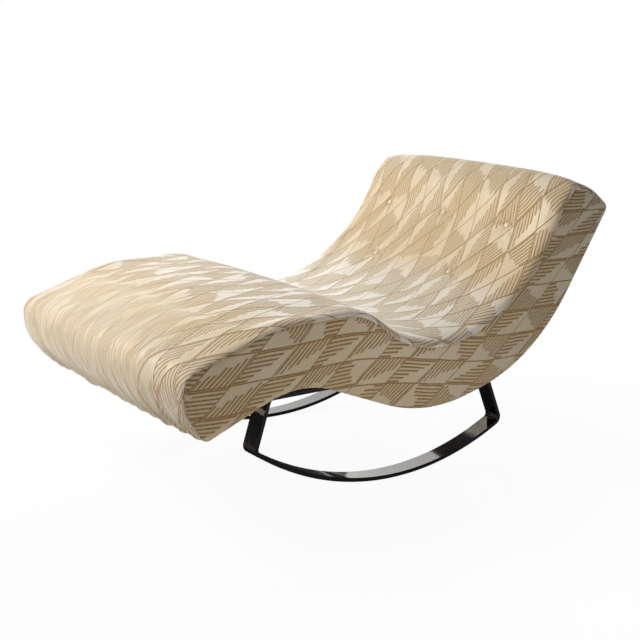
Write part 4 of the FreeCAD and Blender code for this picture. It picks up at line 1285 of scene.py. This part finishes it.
# %% Finish the loops
STEEL_DARK = (0.27, 0.265, 0.26, 1)
STEEL_PALE = (0.36, 0.35, 0.34, 1)
EASED_WIDTH = 0.0009
EASED_FROM = math.radians(50)


def polished_bar():
    """Mirror-polished steel with faint haze."""
    finish, tree, shader, place = new_finish("polished_bar", metallic=1.0)
    haze = noise(tree, place, scale=14.0, detail=4.0)
    swirls = noise(tree, place, scale=1.0, detail=4.0, stretch=(300.0, 60.0, 60.0))
    two_tone(tree, shader, summed(tree, 0.0, (swirls, 0.4), (haze, 0.6)), STEEL_DARK, STEEL_PALE)
    feed(tree, shader, {"Roughness": summed(tree, 0.02, (haze, 0.08))})
    raise_surface(tree, shader, swirls, distance=0.00002, strength=0.4)
    return finish


def give_finish(finish, *node_names):
    """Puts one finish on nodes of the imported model."""
    for node_name in node_names:
        solids[node_name].data.materials.clear()
        solids[node_name].data.materials.append(finish)


loops = ("base_loop_left", "base_loop_right")
give_finish(polished_bar(), *loops)
for loop_name in loops:
    eased = solids[loop_name].modifiers.new("eased_edges", "BEVEL")
    eased.width = EASED_WIDTH
    eased.segments = 3
    eased.limit_method = "ANGLE"
    eased.angle_limit = EASED_FROM
print("loops finished")

# %% [markdown]
# ## What the covers hide
#
# The frame, webbing and fixings can't be seen while the covers are on, but the part may be opened or
# shown in section, so each has its own finish too.

# %% Wood
GRAIN_DRAWN_OUT = 0.06
PORES_FINER = 8


def wood(name, pale, dark, rings, along):
    """Wood with grain along one axis."""
    finish, tree, shader, place = new_finish(name, roughness=0.62)
    stretch = [rings, rings, rings]
    stretch["XYZ".index(along)] = rings * GRAIN_DRAWN_OUT
    grain = noise(tree, place, scale=1.0, detail=5.0, stretch=stretch)
    pores = noise(tree, place, scale=1.0, stretch=[PORES_FINER * value for value in stretch])
    tone = clipped(tree, summed(tree, -0.35, (grain, 1.6), (pores, 0.25)))
    two_tone(tree, shader, tone, dark, pale)
    raise_surface(tree, shader, pores, distance=0.0004)
    return finish


rails = [node_name for node_name in solids if node_name.startswith("rail_")]
WOODS = [
    # name, pale, dark, rings to the metre, axis of the grain, nodes made of it
    ("plywood", (0.66, 0.49, 0.31, 1), (0.50, 0.34, 0.19, 1), 30.0, "Y",
     ["side_panel_left", "side_panel_right", "back_board"]),
    ("rail_timber", (0.70, 0.53, 0.33, 1), (0.52, 0.35, 0.19, 1), 42.0, "X", ["corner_blocks", *rails]),
    ("pressed_fibre", (0.30, 0.19, 0.11, 1), (0.22, 0.13, 0.07, 1), 400.0, "Z", ["button_anchors"]),
]
for *kind, node_names in WOODS:
    give_finish(wood(*kind), *node_names)
print("wood finished")

# %% Steel fixings, webbing, burlap and twine
ZINC_DARK = (0.50, 0.51, 0.53, 1)
ZINC_PALE = (0.68, 0.69, 0.70, 1)


def zinc_steel():
    """Zinc-plated steel with a faint spangle."""
    finish, tree, shader, place = new_finish("zinc_steel", metallic=1.0)
    spangle = noise(tree, place, scale=700.0)
    two_tone(tree, shader, spangle, ZINC_DARK, ZINC_PALE)
    feed(tree, shader, {"Roughness": summed(tree, 0.28, (spangle, 0.15))})
    return finish


def woven(name, dark, pale, pitch, relief):
    """A plain weave of threads at one pitch."""
    finish, tree, shader, place = new_finish(name, roughness=0.88)
    x, y = new_node(tree, "SeparateXYZ", {0: place}).outputs[:2]
    warp = calc(tree, "SINE", times(tree, x, 2 * math.pi / pitch))
    weft = calc(tree, "SINE", times(tree, y, 2 * math.pi / pitch))
    over = calc(tree, "MULTIPLY_ADD", times(tree, warp, weft), 0.5, 0.5)
    slub = noise(tree, place, scale=250.0)
    two_tone(tree, shader, clipped(tree, summed(tree, 0.0, (over, 0.6), (slub, 0.6))), dark, pale)
    raise_surface(tree, shader, over, distance=relief)
    return finish


WEAVES = [
    # name, dark thread, pale thread, pitch, relief, nodes that it covers
    ("elastic_webbing", (0.02, 0.018, 0.016, 1), (0.09, 0.08, 0.07, 1), 0.0016, 0.0005,
     ["webbing_leg", "webbing_seat", "webbing_back"]),
    ("burlap", (0.26, 0.17, 0.08, 1), (0.47, 0.34, 0.19, 1), 0.0024, 0.0006, ["burlap_liner"]),
    ("waxed_twine", (0.5, 0.43, 0.3, 1), (0.72, 0.65, 0.5, 1), 0.0008, 0.0002, ["button_twines"]),
]
for *weave, node_names in WEAVES:
    give_finish(woven(*weave), *node_names)
give_finish(zinc_steel(), "frame_screws", "base_bolts", "base_washers", "base_tee_nuts")
print("fixings, webbing, burlap and twine finished")

# %% [markdown]
# ## Measure and finish
#
# The dressed chaise has to stay the size of its solids, so both boxes are written down side by side.

# %% Compare the boxes and finish
bpy.context.view_layer.update()
dressed_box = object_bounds()
for axis, letter in enumerate("XYZ"):
    low = dressed_box[0][axis] - solids_box[0][axis]
    high = dressed_box[1][axis] - solids_box[1][axis]
    print(letter, "low side", round(low * 1000, 1), "mm, high side", round(high * 1000, 1), "mm")
